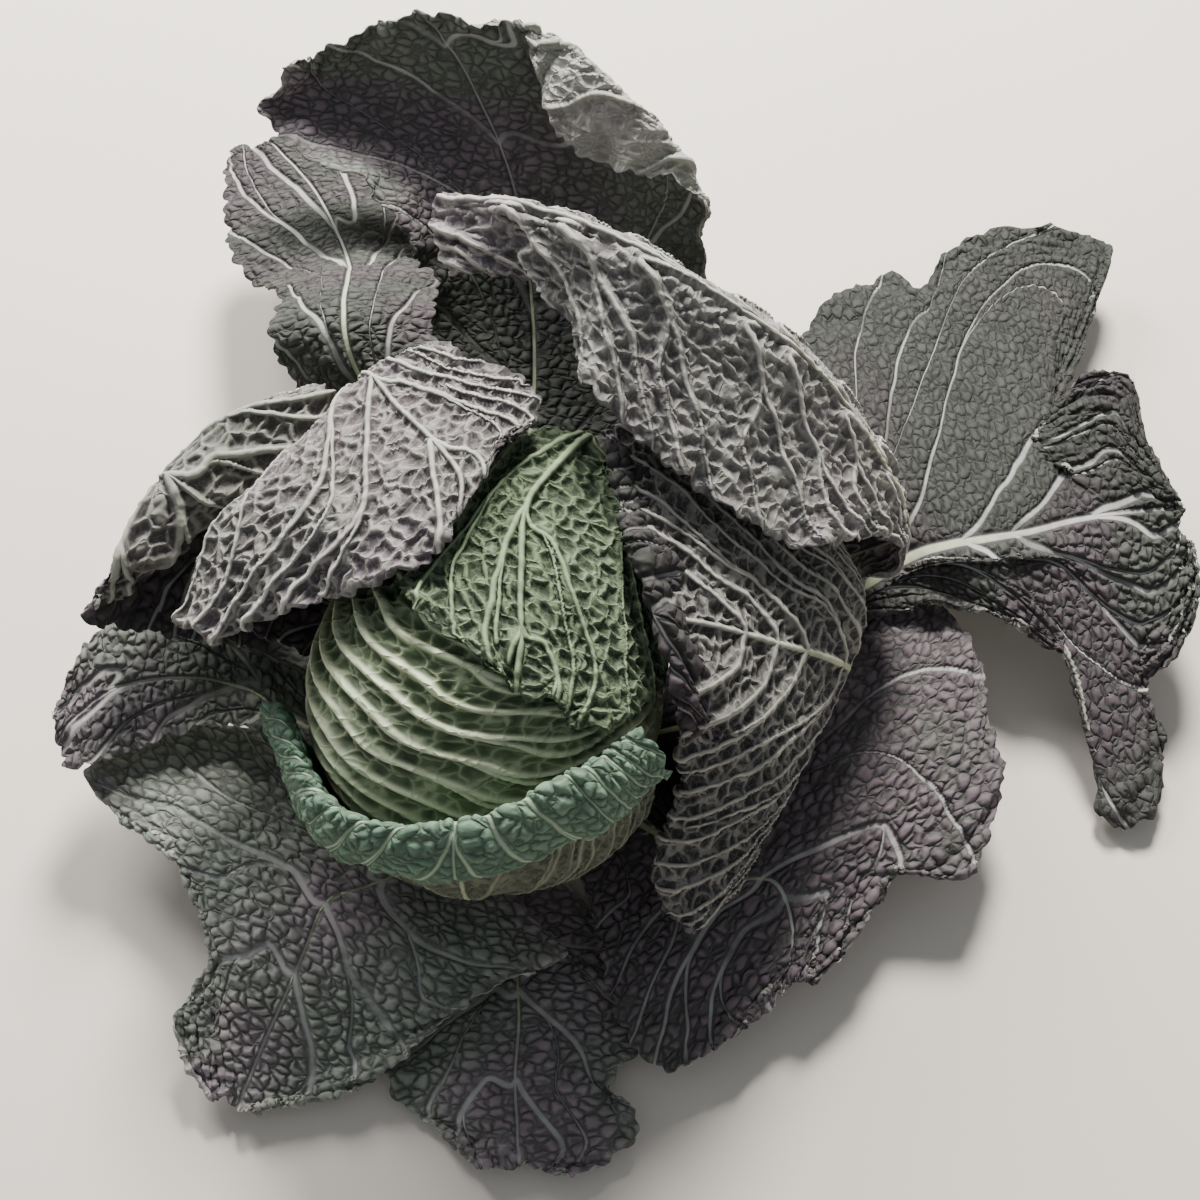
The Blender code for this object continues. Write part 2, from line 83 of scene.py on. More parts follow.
def collar_line(azimuth, crest):
    """Line of the collar leaf: up the front of the head, then rolled outward at its crest."""
    return [
        shell(azimuth * 0.6 - 38, -60, 71),
        shell(azimuth * 0.85 - 14, -34, 71),
        shell(azimuth, -8, 71),
        shell(azimuth, crest - 12, 70.5),
        shell(azimuth, crest - 2, 72),
        shell(azimuth, crest + 1, 76),
        shell(azimuth, crest - 5, 80),
        shell(azimuth, crest - 14, 80),
        shell(azimuth, crest - 19, 77.5),
    ]


# Each leaf: foot (azimuth, height, half width in degrees), lines from the foot to the tip
# given left to right on the upper face, the line of the midrib.
LEAVES = {
    "leaf_far_right": dict(
        foot=(27, 6, 17), midrib=2,
        lines=[
            [(84, 52, 18), (134, 82, 29), (140, 98, 36), (126, 140, 36), (133, 207, 34),
             (172, 242, 30), (189, 234, 30), (209, 262, 30), (245, 271, 28), (278, 265, 26),
             (269, 229, 28), (249, 184, 32), (233, 155, 40), (248, 167, 54), (267, 169, 52),
             (271, 139, 48), (282, 112, 43)],
            [(84, 49, 18), (135, 76, 29), (152, 92, 40), (151, 120, 43), (160, 150, 43),
             (185, 180, 42), (205, 205, 38), (232, 222, 34), (245, 205, 34), (238, 170, 36),
             (226, 138, 44), (240, 135, 50), (255, 138, 52), (265, 125, 48), (280, 110, 44)],
            [(85, 45, 18), (136, 70, 29), (166, 85, 43), (183, 88, 50), (197, 90, 51),
             (216, 94, 50), (233, 99, 49), (251, 103, 48), (268, 106, 46), (281, 108, 43)],
            [(86, 42, 18), (137, 64, 29), (172, 77, 41), (190, 76, 47), (210, 74, 45),
             (232, 72, 41), (248, 66, 38), (262, 68, 38), (274, 82, 41), (281, 98, 42)],
            [(87, 39, 18), (139, 58, 29), (180, 66, 41), (206, 58, 38), (231, 45, 32),
             (246, 34, 24), (255, 20, 17), (255, 5, 12), (243, -9, 8), (247, -19, 7),
             (262, -13, 9), (268, 5, 12), (266, 21, 17), (259, 35, 23), (273, 46, 32),
             (284, 68, 40), (285, 91, 42)],
        ],
    ),
    "leaf_lower_right": dict(
        foot=(-15, 6, 18), midrib=2,
        lines=[
            [(70, 16, 9), (120, 46, 14), (158, 78, 25), (180, 71, 29), (192, 48, 32),
             (195, 20, 33), (197, -5, 32), (190, -30, 29), (181, -46, 26), (166, -44, 27),
             (156, -42, 27), (143, -61, 26), (131, -75, 24), (118, -86, 22)],
            [(60, 2, 12), (98, 12, 23), (132, 24, 31), (154, 22, 34), (164, 2, 34),
             (158, -18, 33), (146, -34, 31), (132, -50, 28), (120, -68, 25), (114, -84, 22)],
            [(50, -16, 13), (76, -34, 22), (91, -46, 28), (106, -48, 30), (112, -58, 28),
             (113, -72, 25), (108, -88, 21)],
            [(40, -24, 13), (58, -46, 20), (66, -64, 24), (76, -76, 24), (86, -84, 23),
             (94, -92, 22), (101, -96, 21)],
            [(30, -34, 12), (38, -56, 18), (42, -76, 19), (46, -93, 18), (56, -109, 17),
             (67, -115, 17), (80, -110, 18), (92, -103, 20)],
        ],
    ),
    "leaf_front": dict(
        foot=(-75, 5.5, 17), midrib=2,
        lines=[
            [(29, -42, 5), (44, -60, 6), (53, -80, 8), (56, -104, 8), (43, -119, 12),
             (54, -130, 12), (54, -139, 9), (37, -149, 8), (24, -150, 8)],
            [(13, -46, 7), (24, -65, 8), (32, -82, 10), (34, -104, 11), (28, -121, 12),
             (32, -136, 10), (22, -149, 8)],
            [(6, -47, 7), (9, -66, 8), (10, -82, 10), (11, -98, 12), (10, -118, 12),
             (11, -134, 10), (12, -149, 8)],
            [(-1, -48, 7), (-4, -67, 8), (-10, -84, 9), (-16, -102, 10), (-14, -120, 10),
             (-6, -136, 9), (4, -149, 8)],
            [(-8, -48, 6.5), (-16, -68, 7), (-22, -88, 7), (-39, -110, 7), (-34, -125, 7),
             (-18, -134, 7), (-6, -146, 7), (-1, -149, 7)],
        ],
    ),
    "leaf_front_left": dict(
        foot=(-128, 6, 17), midrib=2,
        lines=[
            [(2, -40, 16), (17, -62, 25), (27, -78, 31), (4, -87, 28), (-18, -99, 21),
             (-33, -113, 16), (-53, -123, 11), (-71, -126, 9), (-84, -129, 9)],
            [(-12, -44, 17), (-16, -62, 25), (-21, -73, 29), (-32, -85, 25), (-45, -98, 18),
             (-60, -112, 13), (-74, -123, 9), (-88, -129, 9)],
            [(-28, -36, 16), (-46, -48, 25), (-61, -56, 31), (-68, -75, 32), (-75, -92, 27),
             (-83, -107, 18), (-92, -128, 9)],
            [(-44, -20, 13), (-74, -24, 25), (-100, -32, 37), (-96, -57, 38), (-93, -78, 35),
             (-96, -98, 25), (-98, -124, 10)],
            [(-54, 2, 9), (-98, 17, 22), (-140, 17, 30), (-158, -5, 34), (-143, -24, 35),
             (-124, -34, 35), (-113, -50, 34), (-105, -66, 32), (-104, -80, 28),
             (-114, -98, 20), (-111, -113, 14), (-102, -122, 10)],
        ],
    ),
    "leaf_left": dict(
        foot=(178, 6, 17), midrib=1,
        lines=[
            [(-50, -2, 19), (-80, 2, 32), (-100, 10, 42), (-115, 8, 46), (-132, 2, 47),
             (-151, -8, 46), (-163, -8, 45)],
            [(-52, 9, 18), (-82, 19, 32), (-100, 27, 43), (-122, 27, 51), (-144, 22, 53),
             (-160, 11, 50), (-167, 2, 47)],
            [(-48, 22, 17), (-80, 40, 32), (-103, 54, 45), (-127, 60, 54), (-148, 52, 58),
             (-159, 38, 56), (-168, 15, 50)],
        ],
    ),
    "leaf_left_folded": dict(
        foot=(153, 15.5, 17), midrib=2,
        lines=[
            [(-52, 24, 32), (-92, 38, 52), (-126, 37, 68), (-144, 33, 82), (-150, 34, 90),
             (-147, 40, 88), (-142, 42, 86)],
            [(-52, 34, 32), (-95, 58, 52), (-128, 56, 76), (-138, 53, 94), (-135, 51, 105),
             (-127, 50, 102), (-120, 52, 96)],
            [(-52, 44, 31), (-90, 80, 52), (-116, 86, 84), (-122, 82, 104), (-116, 77, 116),
             (-106, 72, 110), (-96, 74, 103)],
            [(-44, 53, 30), (-76, 94, 52), (-93, 108, 84), (-98, 108, 107),
             (-92, 101, 120), (-80, 91, 114), (-71, 84, 107)],
            [(-36, 58, 30), (-62, 100, 50), (-70, 115, 84), (-68, 118, 108),
             (-61, 113, 121), (-54, 104, 119), (-49, 97, 113)],
        ],
    ),
    "leaf_back_left": dict(
        foot=(116, 15.5, 15), midrib=1,
        lines=[
            [(-30, 66, 31), (-52, 112, 58), (-80, 134, 98), (-87, 148, 108), (-89, 174, 100),
             (-94, 192, 82), (-106, 206, 66), (-118, 224, 58), (-127, 250, 56),
             (-131, 278, 54), (-128, 298, 52)],
            [(-23, 70, 31), (-38, 114, 60), (-56, 136, 106), (-60, 158, 114), (-62, 186, 100),
             (-67, 210, 78), (-74, 234, 66), (-86, 262, 60), (-100, 284, 56),
             (-116, 303, 51)],
            [(-15, 73, 30), (-22, 116, 62), (-29, 135, 104), (-30, 157, 109), (-32, 184, 98),
             (-41, 205, 82), (-44, 228, 68), (-46, 254, 60), (-66, 286, 55),
             (-98, 304, 50)],
        ],
    ),
    "leaf_back": dict(
        foot=(92, 6, 18), midrib=2,
        lines=[
            [(-17, 70, 13), (-40, 115, 20), (-50, 152, 29), (-48, 187, 45), (-36, 208, 70),
             (-52, 231, 95), (-81, 250, 96), (-108, 278, 98), (-98, 279, 107),
             (-84, 281, 117)],
            [(-6, 72, 14), (-9, 122, 24), (-9, 162, 38), (-10, 204, 55), (-19, 244, 77),
             (-42, 272, 92), (-64, 287, 108), (-75, 287, 125)],
            [(3, 75, 15), (7, 125, 26), (12, 170, 40), (10, 215, 58), (2, 250, 86),
             (-14, 272, 118), (-26, 281, 136), (-34, 284, 144)],
            [(12, 72, 15), (24, 122, 26), (36, 170, 42), (42, 212, 60), (42, 242, 90),
             (28, 260, 122), (12, 270, 142), (0, 274, 149)],
            [(22, 68, 16), (44, 112, 30), (64, 158, 50), (76, 188, 78), (80, 209, 106),
             (72, 225, 130), (57, 234, 142), (40, 247, 150), (22, 262, 152),
             (10, 270, 151)],
            [(28, 64, 16), (56, 104, 31), (76, 150, 54), (83, 182, 84), (84, 202, 108),
             (72, 214, 125), (54, 218, 123), (34, 226, 124), (20, 240, 135),
             (13, 260, 147)],
        ],
    ),
    "leaf_hood": dict(
        foot=(50, 15.5, 17), midrib=2,
        lines=[
            [(42, 52, 26), (90, 84, 42), (138, 104, 52), (146, 120, 64), (132, 138, 78),
             (112, 155, 90), (90, 166, 99), (66, 174, 111), (39, 178, 126), (14, 172, 143),
             (-10, 163, 162)],
            [(44, 49, 26), (94, 78, 42), (144, 92, 56), (156, 98, 80), (136, 112, 112),
             (116, 120, 136), (94, 127, 152), (66, 134, 168), (40, 143, 177), (14, 149, 180),
             (-12, 153, 177)],
            [(46, 46, 26), (97, 72, 42), (148, 80, 58), (158, 80, 82), (134, 90, 130),
             (111, 97, 162), (88, 102, 181), (62, 110, 196), (38, 121, 201), (10, 135, 198),
             (-15, 146, 187)],
            [(48, 43, 26), (100, 66, 43), (150, 70, 62), (154, 70, 90), (128, 70, 130),
             (102, 74, 156), (82, 82, 173), (60, 92, 186), (38, 106, 192), (10, 128, 191),
             (-17, 137, 182)],
            [(50, 40, 26), (102, 60, 44), (150, 62, 68), (149, 62, 98), (130, 46, 123),
             (110, 38, 136), (89, 41, 147), (70, 50, 160), (46, 66, 172), (34, 80, 177),
             (30, 100, 180), (20, 115, 180), (4, 122, 178), (-14, 126, 175)],
        ],
    ),
    "leaf_inner_right": dict(
        foot=(8, 25, 17), midrib=2,
        lines=[
            [(52, 26, 36), (94, 46, 54), (122, 70, 80), (114, 78, 112), (88, 80, 138),
             (62, 78, 151), (43, 72, 156), (49, 66, 158), (57, 61, 152)],
            [(56, 18, 36), (98, 30, 52), (136, 42, 78), (128, 42, 102), (100, 36, 124),
             (72, 32, 142), (50, 28, 153), (56, 25, 155), (66, 22, 146)],
            [(58, 9, 35), (96, 14, 50), (130, 20, 70), (124, 14, 94), (100, 9, 118),
             (78, 6, 136), (58, 4, 147), (64, 1, 149), (74, -2, 137)],
            [(52, -4, 34), (82, -12, 46), (110, -18, 60), (106, -26, 80), (95, -26, 100),
             (82, -23, 118), (66, -21, 133), (71, -22, 134), (79, -22, 121)],
            [(44, -14, 33), (66, -34, 42), (88, -54, 49), (75, -73, 50), (63, -66, 57),
             (60, -53, 72), (68, -40, 86), (75, -30, 103), (80, -28, 113)],
        ],
    ),
    "leaf_left_wrapper": dict(
        foot=(140, 25, 17), midrib=3,
        lines=[
            [shell(160, -58, 70), shell(156, -32, 78), (-90, 30, 84), (-106, 22, 104),
             (-107, 15, 118), (-99, 11, 123), (-90, 8, 123)],
            [shell(151, -58, 70), shell(148, -32, 78), (-84, 48, 86), (-97, 43, 114),
             (-90, 44, 138), (-77, 28, 143), (-66, 14, 142), (-60, 9, 142)],
            [shell(141, -58, 70), shell(139, -32, 78), (-70, 64, 86), (-75, 72, 120),
             (-66, 62, 150), (-46, 44, 160), (-26, 26, 167), (-14, 13, 168)],
            [shell(128, -58, 70), shell(123, -32, 78), (-44, 82, 88), (-48, 92, 125),
             (-41, 93, 157), (-28, 74, 165), (-14, 56, 169), (-5, 42, 171), (-4, 30, 171)],
            [shell(115, -58, 70), shell(107, -32, 78), (-20, 88, 88), (-21, 104, 125),
             (-18, 108, 155), (-4, 99, 162), (14, 86, 163), (20, 74, 166), (12, 60, 170)],
        ],
    ),
    "leaf_collar": dict(
        foot=(-95, 25, 20), midrib=2,
        lines=[
            collar_line(-32, 32), collar_line(-58, 37), collar_line(-95, 30),
            collar_line(-132, 18), collar_line(-172, 11),
        ],
    ),
    "leaf_top": dict(
        foot=(68, 25, 17), midrib=2,
        lines=[
            [shell(82, -58, 69), shell(88, -32, 69), (-4, 75, 92), (-6, 78, 125),
             (-6, 66, 146), (-14, 40, 157), (-22, 16, 158), (-23, 5, 159), (-12, -5, 160),
             (0, -14, 159), (9, -22, 156)],
            [shell(74, -58, 69), shell(77, -32, 69), (12, 76, 92), (14, 82, 126),
             (12, 70, 150), (4, 42, 159), (0, 18, 160), (4, -8, 160), (11, -23, 155)],
            [shell(64, -58, 69), shell(63, -32, 69), (32, 68, 92), (38, 76, 126),
             (36, 72, 148), (25, 55, 156), (16, 38, 159), (15, 14, 160), (15, -12, 157),
             (14, -26, 152)],
            [shell(54, -58, 69), shell(47, -32, 69), (51, 50, 92), (56, 54, 122),
             (51, 44, 142), (42, 22, 150), (37, 4, 152), (34, -14, 149), (26, -28, 149)],
            [shell(42, -58, 69), shell(32, -32, 69), (63, 31, 92), (64, 26, 114),
             (62, 10, 124), (62, -8, 124), (57, -20, 129), (46, -31, 136), (32, -34, 144)],
        ],
    ),
}

# How a leaf is drawn where its own entry below says nothing else.
PLAIN_LEAF = dict(look="outer_leaf", bend=0.8, sweep=0.0, groove=0.7, bulge=0.0,
                  right_light=1.0, foot_painted_shade=1.0)
PLAIN_WRAPPER = dict(PLAIN_LEAF, look="hood_leaf", groove=0.9)

# Each leaf's entry: grid cells along and across, side veins on each side of the midrib,
# their slant towards the tip and the power by which it grows (bend), the fan (small numbers
# make the veins spread from near the foot), the sweep (how far they first run along the
# midrib), the size of a blister and its height, the wave of the margin, the half width of
# the midrib, the share of the usual groove depth and how far the right margin bulges, all
# lengths in millimetres. Then painted light and shade on the flesh, factors that stand in
# for how brightly each leaf is lit: one for both faces, another for the underside where it
# differs, one for the right half and one that paints shade on the foot half.
DRAWN = {
    "leaf_far_right": dict(
        PLAIN_LEAF, grid=(220, 180), veins=3.6, slant=0.22, fan=0.32, cell=3.7, lift=1.5,
        wave=2.6, midrib_width=2.9, groove=0.8, shade=0.62, right_light=1.5),
    "leaf_lower_right": dict(
        PLAIN_LEAF, grid=(200, 185), veins=3.0, slant=0.16, fan=0.8, cell=3.9, lift=1.6,
        wave=1.9, midrib_width=1.4, groove=0.8, shade=1.7),
    "leaf_front": dict(
        PLAIN_LEAF, grid=(140, 140), veins=2.0, slant=0.20, fan=0.80, cell=3.8, lift=1.5,
        wave=2.4, midrib_width=0.6, shade=2.8),
    "leaf_front_left": dict(
        PLAIN_LEAF, grid=(195, 185), veins=2.2, slant=0.20, fan=0.9, cell=3.9, lift=1.6,
        wave=2.6, midrib_width=0.7, shade=3.3),
    "leaf_left": dict(
        PLAIN_LEAF, grid=(155, 145), veins=1.8, slant=0.20, fan=0.80, cell=3.8, lift=1.5,
        wave=3.2, midrib_width=0.6, shade=2.0),
    "leaf_left_folded": dict(
        PLAIN_LEAF, grid=(195, 175), veins=4.0, slant=0.16, fan=3.0, sweep=0.06, cell=5.6,
        lift=1.4, wave=2.8, midrib_width=1.2, groove=1.0, shade=0.85),
    "leaf_back_left": dict(
        PLAIN_LEAF, grid=(205, 155), veins=2.6, slant=0.20, fan=1.0, cell=3.8, lift=1.2,
        wave=2.2, midrib_width=1.2, shade=0.95, bulge=6.0),
    "leaf_back": dict(
        PLAIN_LEAF, grid=(195, 195), veins=2.8, slant=0.16, fan=0.9, cell=4.0, lift=1.2,
        wave=2.8, midrib_width=1.0, shade=2.2, under_shade=3.0, foot_painted_shade=0.4),
    "leaf_hood": dict(
        PLAIN_WRAPPER, grid=(225, 205), veins=11.0, slant=-0.26, bend=1.0, fan=30.0,
        sweep=0.1, cell=5.4, lift=1.3, wave=2.8, midrib_width=1.0, groove=1.0, shade=1.5),
    "leaf_inner_right": dict(
        PLAIN_WRAPPER, grid=(215, 200), veins=9.0, slant=0.62, bend=1.5, fan=8.0, cell=5.0,
        lift=1.3, wave=2.2, midrib_width=1.3, groove=0.8, shade=0.6),
    "leaf_left_wrapper": dict(
        PLAIN_WRAPPER, grid=(205, 195), veins=6.0, slant=0.42, bend=0.9, fan=4.0, cell=5.0,
        lift=1.2, wave=2.0, midrib_width=1.2, shade=1.0),
    "leaf_collar": dict(
        PLAIN_WRAPPER, look="collar_leaf", grid=(120, 230), veins=2.2, slant=3.0, bend=1.0,
        fan=30.0, cell=4.2, lift=1.1, wave=1.0, midrib_width=0.7, groove=0.4, shade=2.0),
    "leaf_top": dict(
        PLAIN_WRAPPER, look="pale_leaf", grid=(185, 185), veins=5.0, slant=0.35, bend=0.8,
        fan=6.0, cell=4.8, lift=1.15, wave=1.4, midrib_width=1.7, groove=0.7, shade=0.62),
}
OUTER_LEAVES = ("leaf_far_right", "leaf_lower_right", "leaf_front", "leaf_front_left",
                "leaf_left", "leaf_left_folded", "leaf_back_left", "leaf_back")
WRAPPER_LEAVES = ("leaf_hood", "leaf_inner_right", "leaf_left_wrapper", "leaf_collar",
                  "leaf_top")
OUTER_SEED = 11
WRAPPER_SEED = 41

# Courses of the side veins. A lane is the strip between two of them.
FIRST_VEIN = 0.14
SLANT_LOSS = 0.4
SWEEP_REACH = 0.08
FAN_GROWTH = 1.2
RIGHT_LANE_SHIFT = 0.45
RIGHT_LANE_REACH = 0.25
LANE_WOBBLE = 0.20
LANE_WOBBLE_RATE = 2.3
RIGHT_WOBBLE = 0.8
WIDEST_PITCH = 80.0
RIB_TAPER = 1.25
RIB_LEAST = 0.6

# Waves and teeth of the margins, in millimetres along and in from the edge.
MARGIN_REACH = 13.0
MARGIN_WAVES = ((5.3, 1.0), (3.1, 0.8), (8.9, 0.7))
WAVE_TOTAL = 1.7
TOOTH_REACH = 3.0
TOOTH_LENGTH = 2.3
TOOTH_DRIFT = 7.0
LOBE_LENGTHS = (6.1, 3.7)
LOBE_SHARE = 0.8
BULGE_REACH = 12.0
LEFT_MARGIN, RIGHT_MARGIN, TIP_MARGIN = range(3)

# Widths and forks of the side veins, lanes and pitches in millimetres.
VEIN_VALUES = ("lane", "pitch", "out", "rib", "station", "calm")
VEIN_SWAY = 7.0
SWAY_SCALE = 48.0
SWAY_PITCH = 4.0
MAIN_WIDTH = 0.92
RAISED_WIDEN = 1.4
OUTER_VEIN_WIDEN = 1.45
FORK_WIDTH = 0.50
FORK_BEGIN = 0.12
FORK_SPREAD = 0.35
FORK_RUN = 0.40
FORK_TURN = 0.52
FORK_PITCHES = (6.5, 9.5)
SIDE_PITCHES = (3.5, 6.5)
SIDE_STATIONS = (0.06, 0.15)
HIDE_BY_PITCH = 3.0
HIDE_AT_FOOT = 6.0

# The net of blisters: a coarse net of cells and a finer one, each warped by noise.
NET_STRETCH = 1.5
NET_WARP = 0.9
NET_SEED = 3.7
NET_RANDOMNESS = 0.85
FINE_WARP = 0.7
FINE_SEED = 11.3
FINE_SHARE = 0.50
DOME_POWER = 2.2
DOME_REACH = 0.48
FINE_REACH = 0.34
FINE_HEIGHT = 0.10
FOLD_SCALE = 34.0
FOLD_HEIGHT = 2.5

# Thickness of a blade, in millimetres over its net and veins.
RIDGE_WALL = (0.04, 0.18)
SHEET_NORMAL_SHARE = 0.55
MARGIN_THINNING = 0.45
VEIN_THICKNESS = 0.4
FOOT_VEIN_THICKNESS = 1.2
FOOT_VEIN_END = 0.6

# Tones of the finishes.
# Veins take a leaf's painted light only where it darkens them, and keep at least this share of
# their colour.
VEIN_PAINTED_LIGHT_LEAST = 0.45
# Painted shade: the share of the flesh colour left in the creases and pockets between blisters.
POCKET_PAINTED_SHADE = 0.40
UNDER_MAIN_TONE = 1.3
BUMP_STRENGTH = 0.8
BUMP_DEPTH = 0.0010

HEAD_AXIS = (0.16, 0.43, 0.89)
HEAD_GRID = (210, 420)
HEAD_POLE = 0.02
HEAD_RIB_PITCH = 9.0
HEAD_RIB_WIDEN = 1.7
HEAD_NO_MIDRIB = 9.0
HEAD_NET_STRETCH = 2.0
HEAD_CELL = 4.0
HEAD_LIFT = -2.2
HEAD_FOLD = 1.0
HEAD_BUMP_STRENGTH = 0.7
HEAD_BUMP_DEPTH = 0.0009

# Radius and height of the stump from the middle of its cut face to the top.
STUMP_PROFILE = ((0.0, 0.3), (8.0, 0.25), (16.0, 0.1), (19.6, 0.0), (20.7, 0.5), (21.6, 1.8),
                 (22.0, 6.0), (22.0, 14.0), (22.0, 22.0), (21.9, 28.6), (21.0, 29.5),
                 (0.0, 29.6))
STUMP_SECTORS = 96
STUMP_SEED = 5
STUMP_WAVES = 7
STUMP_WAVE = 0.004
STUMP_ROUGH = 0.05
STUMP_SMOOTH_BELOW = 1.0

FLOOR_HALF = 2.5
FLOOR_DROP = 0.0005
AIM = (0.04, 0.08, 0.06)
LIGHTS = (("window", (0.16, 1.20, 1.20), 0.45, 72.0, (1.0, 0.95, 0.90)),
          ("fill", (-0.62, 1.0, 0.98), 0.6, 22.0, (1.0, 0.97, 0.96)))
ROOM_COLOUR = (0.80, 0.83, 0.88, 1.0)
ROOM_STRENGTH = 0.37
CAMERA_PLACE = (0.041, -0.24720, 0.63043)
CAMERA_TILT = 28.0
CAMERA_HALF_VIEW = 20.0
SENSOR = 36.0


# Sizes and colours that a user changes

def colour_property(name, description, colour):
    return bpy.props.FloatVectorProperty(
        name=name, description=description, subtype="COLOR", size=3,
        min=0.0, max=1.0, default=colour)


def length_property(name, description, millimetres):
    return bpy.props.FloatProperty(
        name=name, description=description, default=millimetres * MM, min=0.0,
        subtype="DISTANCE", unit="LENGTH", precision=5)


class CabbageSizes(bpy.types.PropertyGroup):
    """Sizes of the blades, veins and head"""
    blade: length_property("Blade", "Thickness of a leaf between its veins", 0.9)
    foot: length_property("Foot", "Thickness of a leaf stalk at the stump", 5.0)
    vein_ridge: length_property("Vein ridge", "Height of the net of veins on the underside", 0.5)
    vein_groove: length_property("Vein groove", "Depth of the side veins in the upper face", 1.3)
    head_radius: length_property("Head radius", "Radius of the round head", 61.0)
    head_rib: length_property("Head rib", "Height of the ribs on the head", 3.0)
    tooth: length_property("Tooth", "Depth of the teeth at the leaf margins", 2.0)
    detail: bpy.props.FloatProperty(
        name="Detail", description="Share of the full grid that each leaf is drawn with",
        default=1.0, min=0.2, max=1.0, subtype="FACTOR")


class CabbageColours(bpy.types.PropertyGroup):
    """Colours of the leaves, veins, head and stump"""
    outer_green: colour_property("Outer green", "Upper face of the loose leaves",
                                 (0.078, 0.087, 0.074))
    outer_purple: colour_property("Outer purple", "Purple flush on the loose leaves",
                                  (0.100, 0.081, 0.092))
    under_grey: colour_property("Underside", "Underside of the loose leaves",
                                (0.135, 0.130, 0.125))
    under_vein: colour_property("Underside vein", "Veins on the underside",
                                (0.38, 0.38, 0.34))
    upper_vein: colour_property("Upper vein", "Veins on the upper face",
                                (0.43, 0.435, 0.42))
    collar_green: colour_property("Collar green", "Upper face of the collar leaf",
                                  (0.085, 0.135, 0.092))
    pale_green: colour_property("Pale green", "The leaf over the head",
                                (0.085, 0.125, 0.068))
    head_green: colour_property("Head green", "Head between its ribs", (0.20, 0.275, 0.142))
    head_rib: colour_property("Head ribs", "Ribs of the head", (0.64, 0.72, 0.48))
    stalk: colour_property("Stalk", "Midribs, leaf feet and the stump", (0.50, 0.58, 0.34))
    floor: colour_property("Floor", "The floor", (0.76, 0.71, 0.64))


def sizes():
    return bpy.context.scene.cabbage_sizes


def colours():
    return bpy.context.scene.cabbage_colours


# Leaf surfaces from their lines

def smooth_line(points, stations):
    """Catmull-Rom curve through points; returns dense samples and their stations."""
    p = np.asarray(points, float)
    p = np.vstack([2 * p[0] - p[1], p, 2 * p[-1] - p[-2]])
    samples = []
    marks = []
    for k in range(1, len(p) - 2):
        a, b, c, d = p[k - 1], p[k], p[k + 1], p[k + 2]
        for step in range(SAMPLES):
            t = step / SAMPLES
            samples.append(0.5 * (2 * b + (c - a) * t + (2 * a - 5 * b + 4 * c - d) * t * t
                                  + (3 * b - a - 3 * c + d) * t ** 3))
            marks.append(stations[k - 1] + (stations[k] - stations[k - 1]) * t)
    samples.append(p[-2])
    marks.append(stations[-1])
    return np.array(samples), np.array(marks)


def line_stations(points):
    """Stations 0 to 1: the foot takes a fixed share, the rest goes by length."""
    p = np.asarray(points, float)
    lengths = np.linalg.norm(np.diff(p, axis=0), axis=1)
    foot = np.cumsum(lengths[:2]) / lengths[:2].sum() * FOOT_STATION
    blade = FOOT_STATION + np.cumsum(lengths[2:]) / lengths[2:].sum() * (1 - FOOT_STATION)
    return [0.0, *foot, *blade]


def across_weights(count, columns):
    """Catmull-Rom weights that turn the lines' points into a row of columns."""
    weights = np.zeros((columns, count))
    for j, s in enumerate(np.linspace(0, count - 1, columns)):
        k = min(int(s), count - 2)
        t = s - k
        basis = (0.5 * (-t + 2 * t * t - t ** 3), 0.5 * (2 - 5 * t * t + 3 * t ** 3),
                 0.5 * (t + 4 * t * t - 3 * t ** 3), 0.5 * (-t * t + t ** 3))
        for step, w in zip((-1, 0, 1, 2), basis):
            i = k + step
            if i < 0:
                weights[j, 0] += 2 * w
                weights[j, 1] -= w
            elif i >= count:
                weights[j, count - 1] += 2 * w
                weights[j, count - 2] -= w
            else:
                weights[j, i] += w
    return weights


def leaf_surface(leaf, rows, columns):
    """Grid of points of the leaf in millimetres, rows from foot to tip."""
    azimuth, height, half = leaf["foot"]
    count = len(leaf["lines"])
    marks_wanted = np.linspace(0, 1, rows)
    lines = []
    for k, line in enumerate(leaf["lines"]):
        angle = math.radians(azimuth + half * (1 - 2 * k / (count - 1)))
        reach = STUMP_RADIUS + JOINT_GAP
        points = [(reach * math.cos(angle), reach * math.sin(angle), height), *line]
        dense, marks = smooth_line(points, line_stations(points))
        lines.append(np.stack([np.interp(marks_wanted, marks, dense[:, c]) for c in range(3)], 1))
    table = np.stack(lines, 1)
    return np.einsum("jk,ikc->ijc", across_weights(count, columns), table)


def grid_normals(grid):
    along = np.gradient(grid, axis=0)
    across = np.gradient(grid, axis=1)
    normal = np.cross(across, along)
    return normal / np.maximum(np.linalg.norm(normal, axis=2, keepdims=True), 1e-9)


def smoothstep(low, high, value):
    t = np.clip((value - low) / (high - low), 0, 1)
    return t * t * (3 - 2 * t)


def running_length(grid, axis):
    step = np.linalg.norm(np.diff(grid, axis=axis), axis=2)
    pad = [(0, 0), (0, 0)]
    pad[axis] = (1, 0)
    return np.cumsum(np.pad(step, pad), axis=axis)


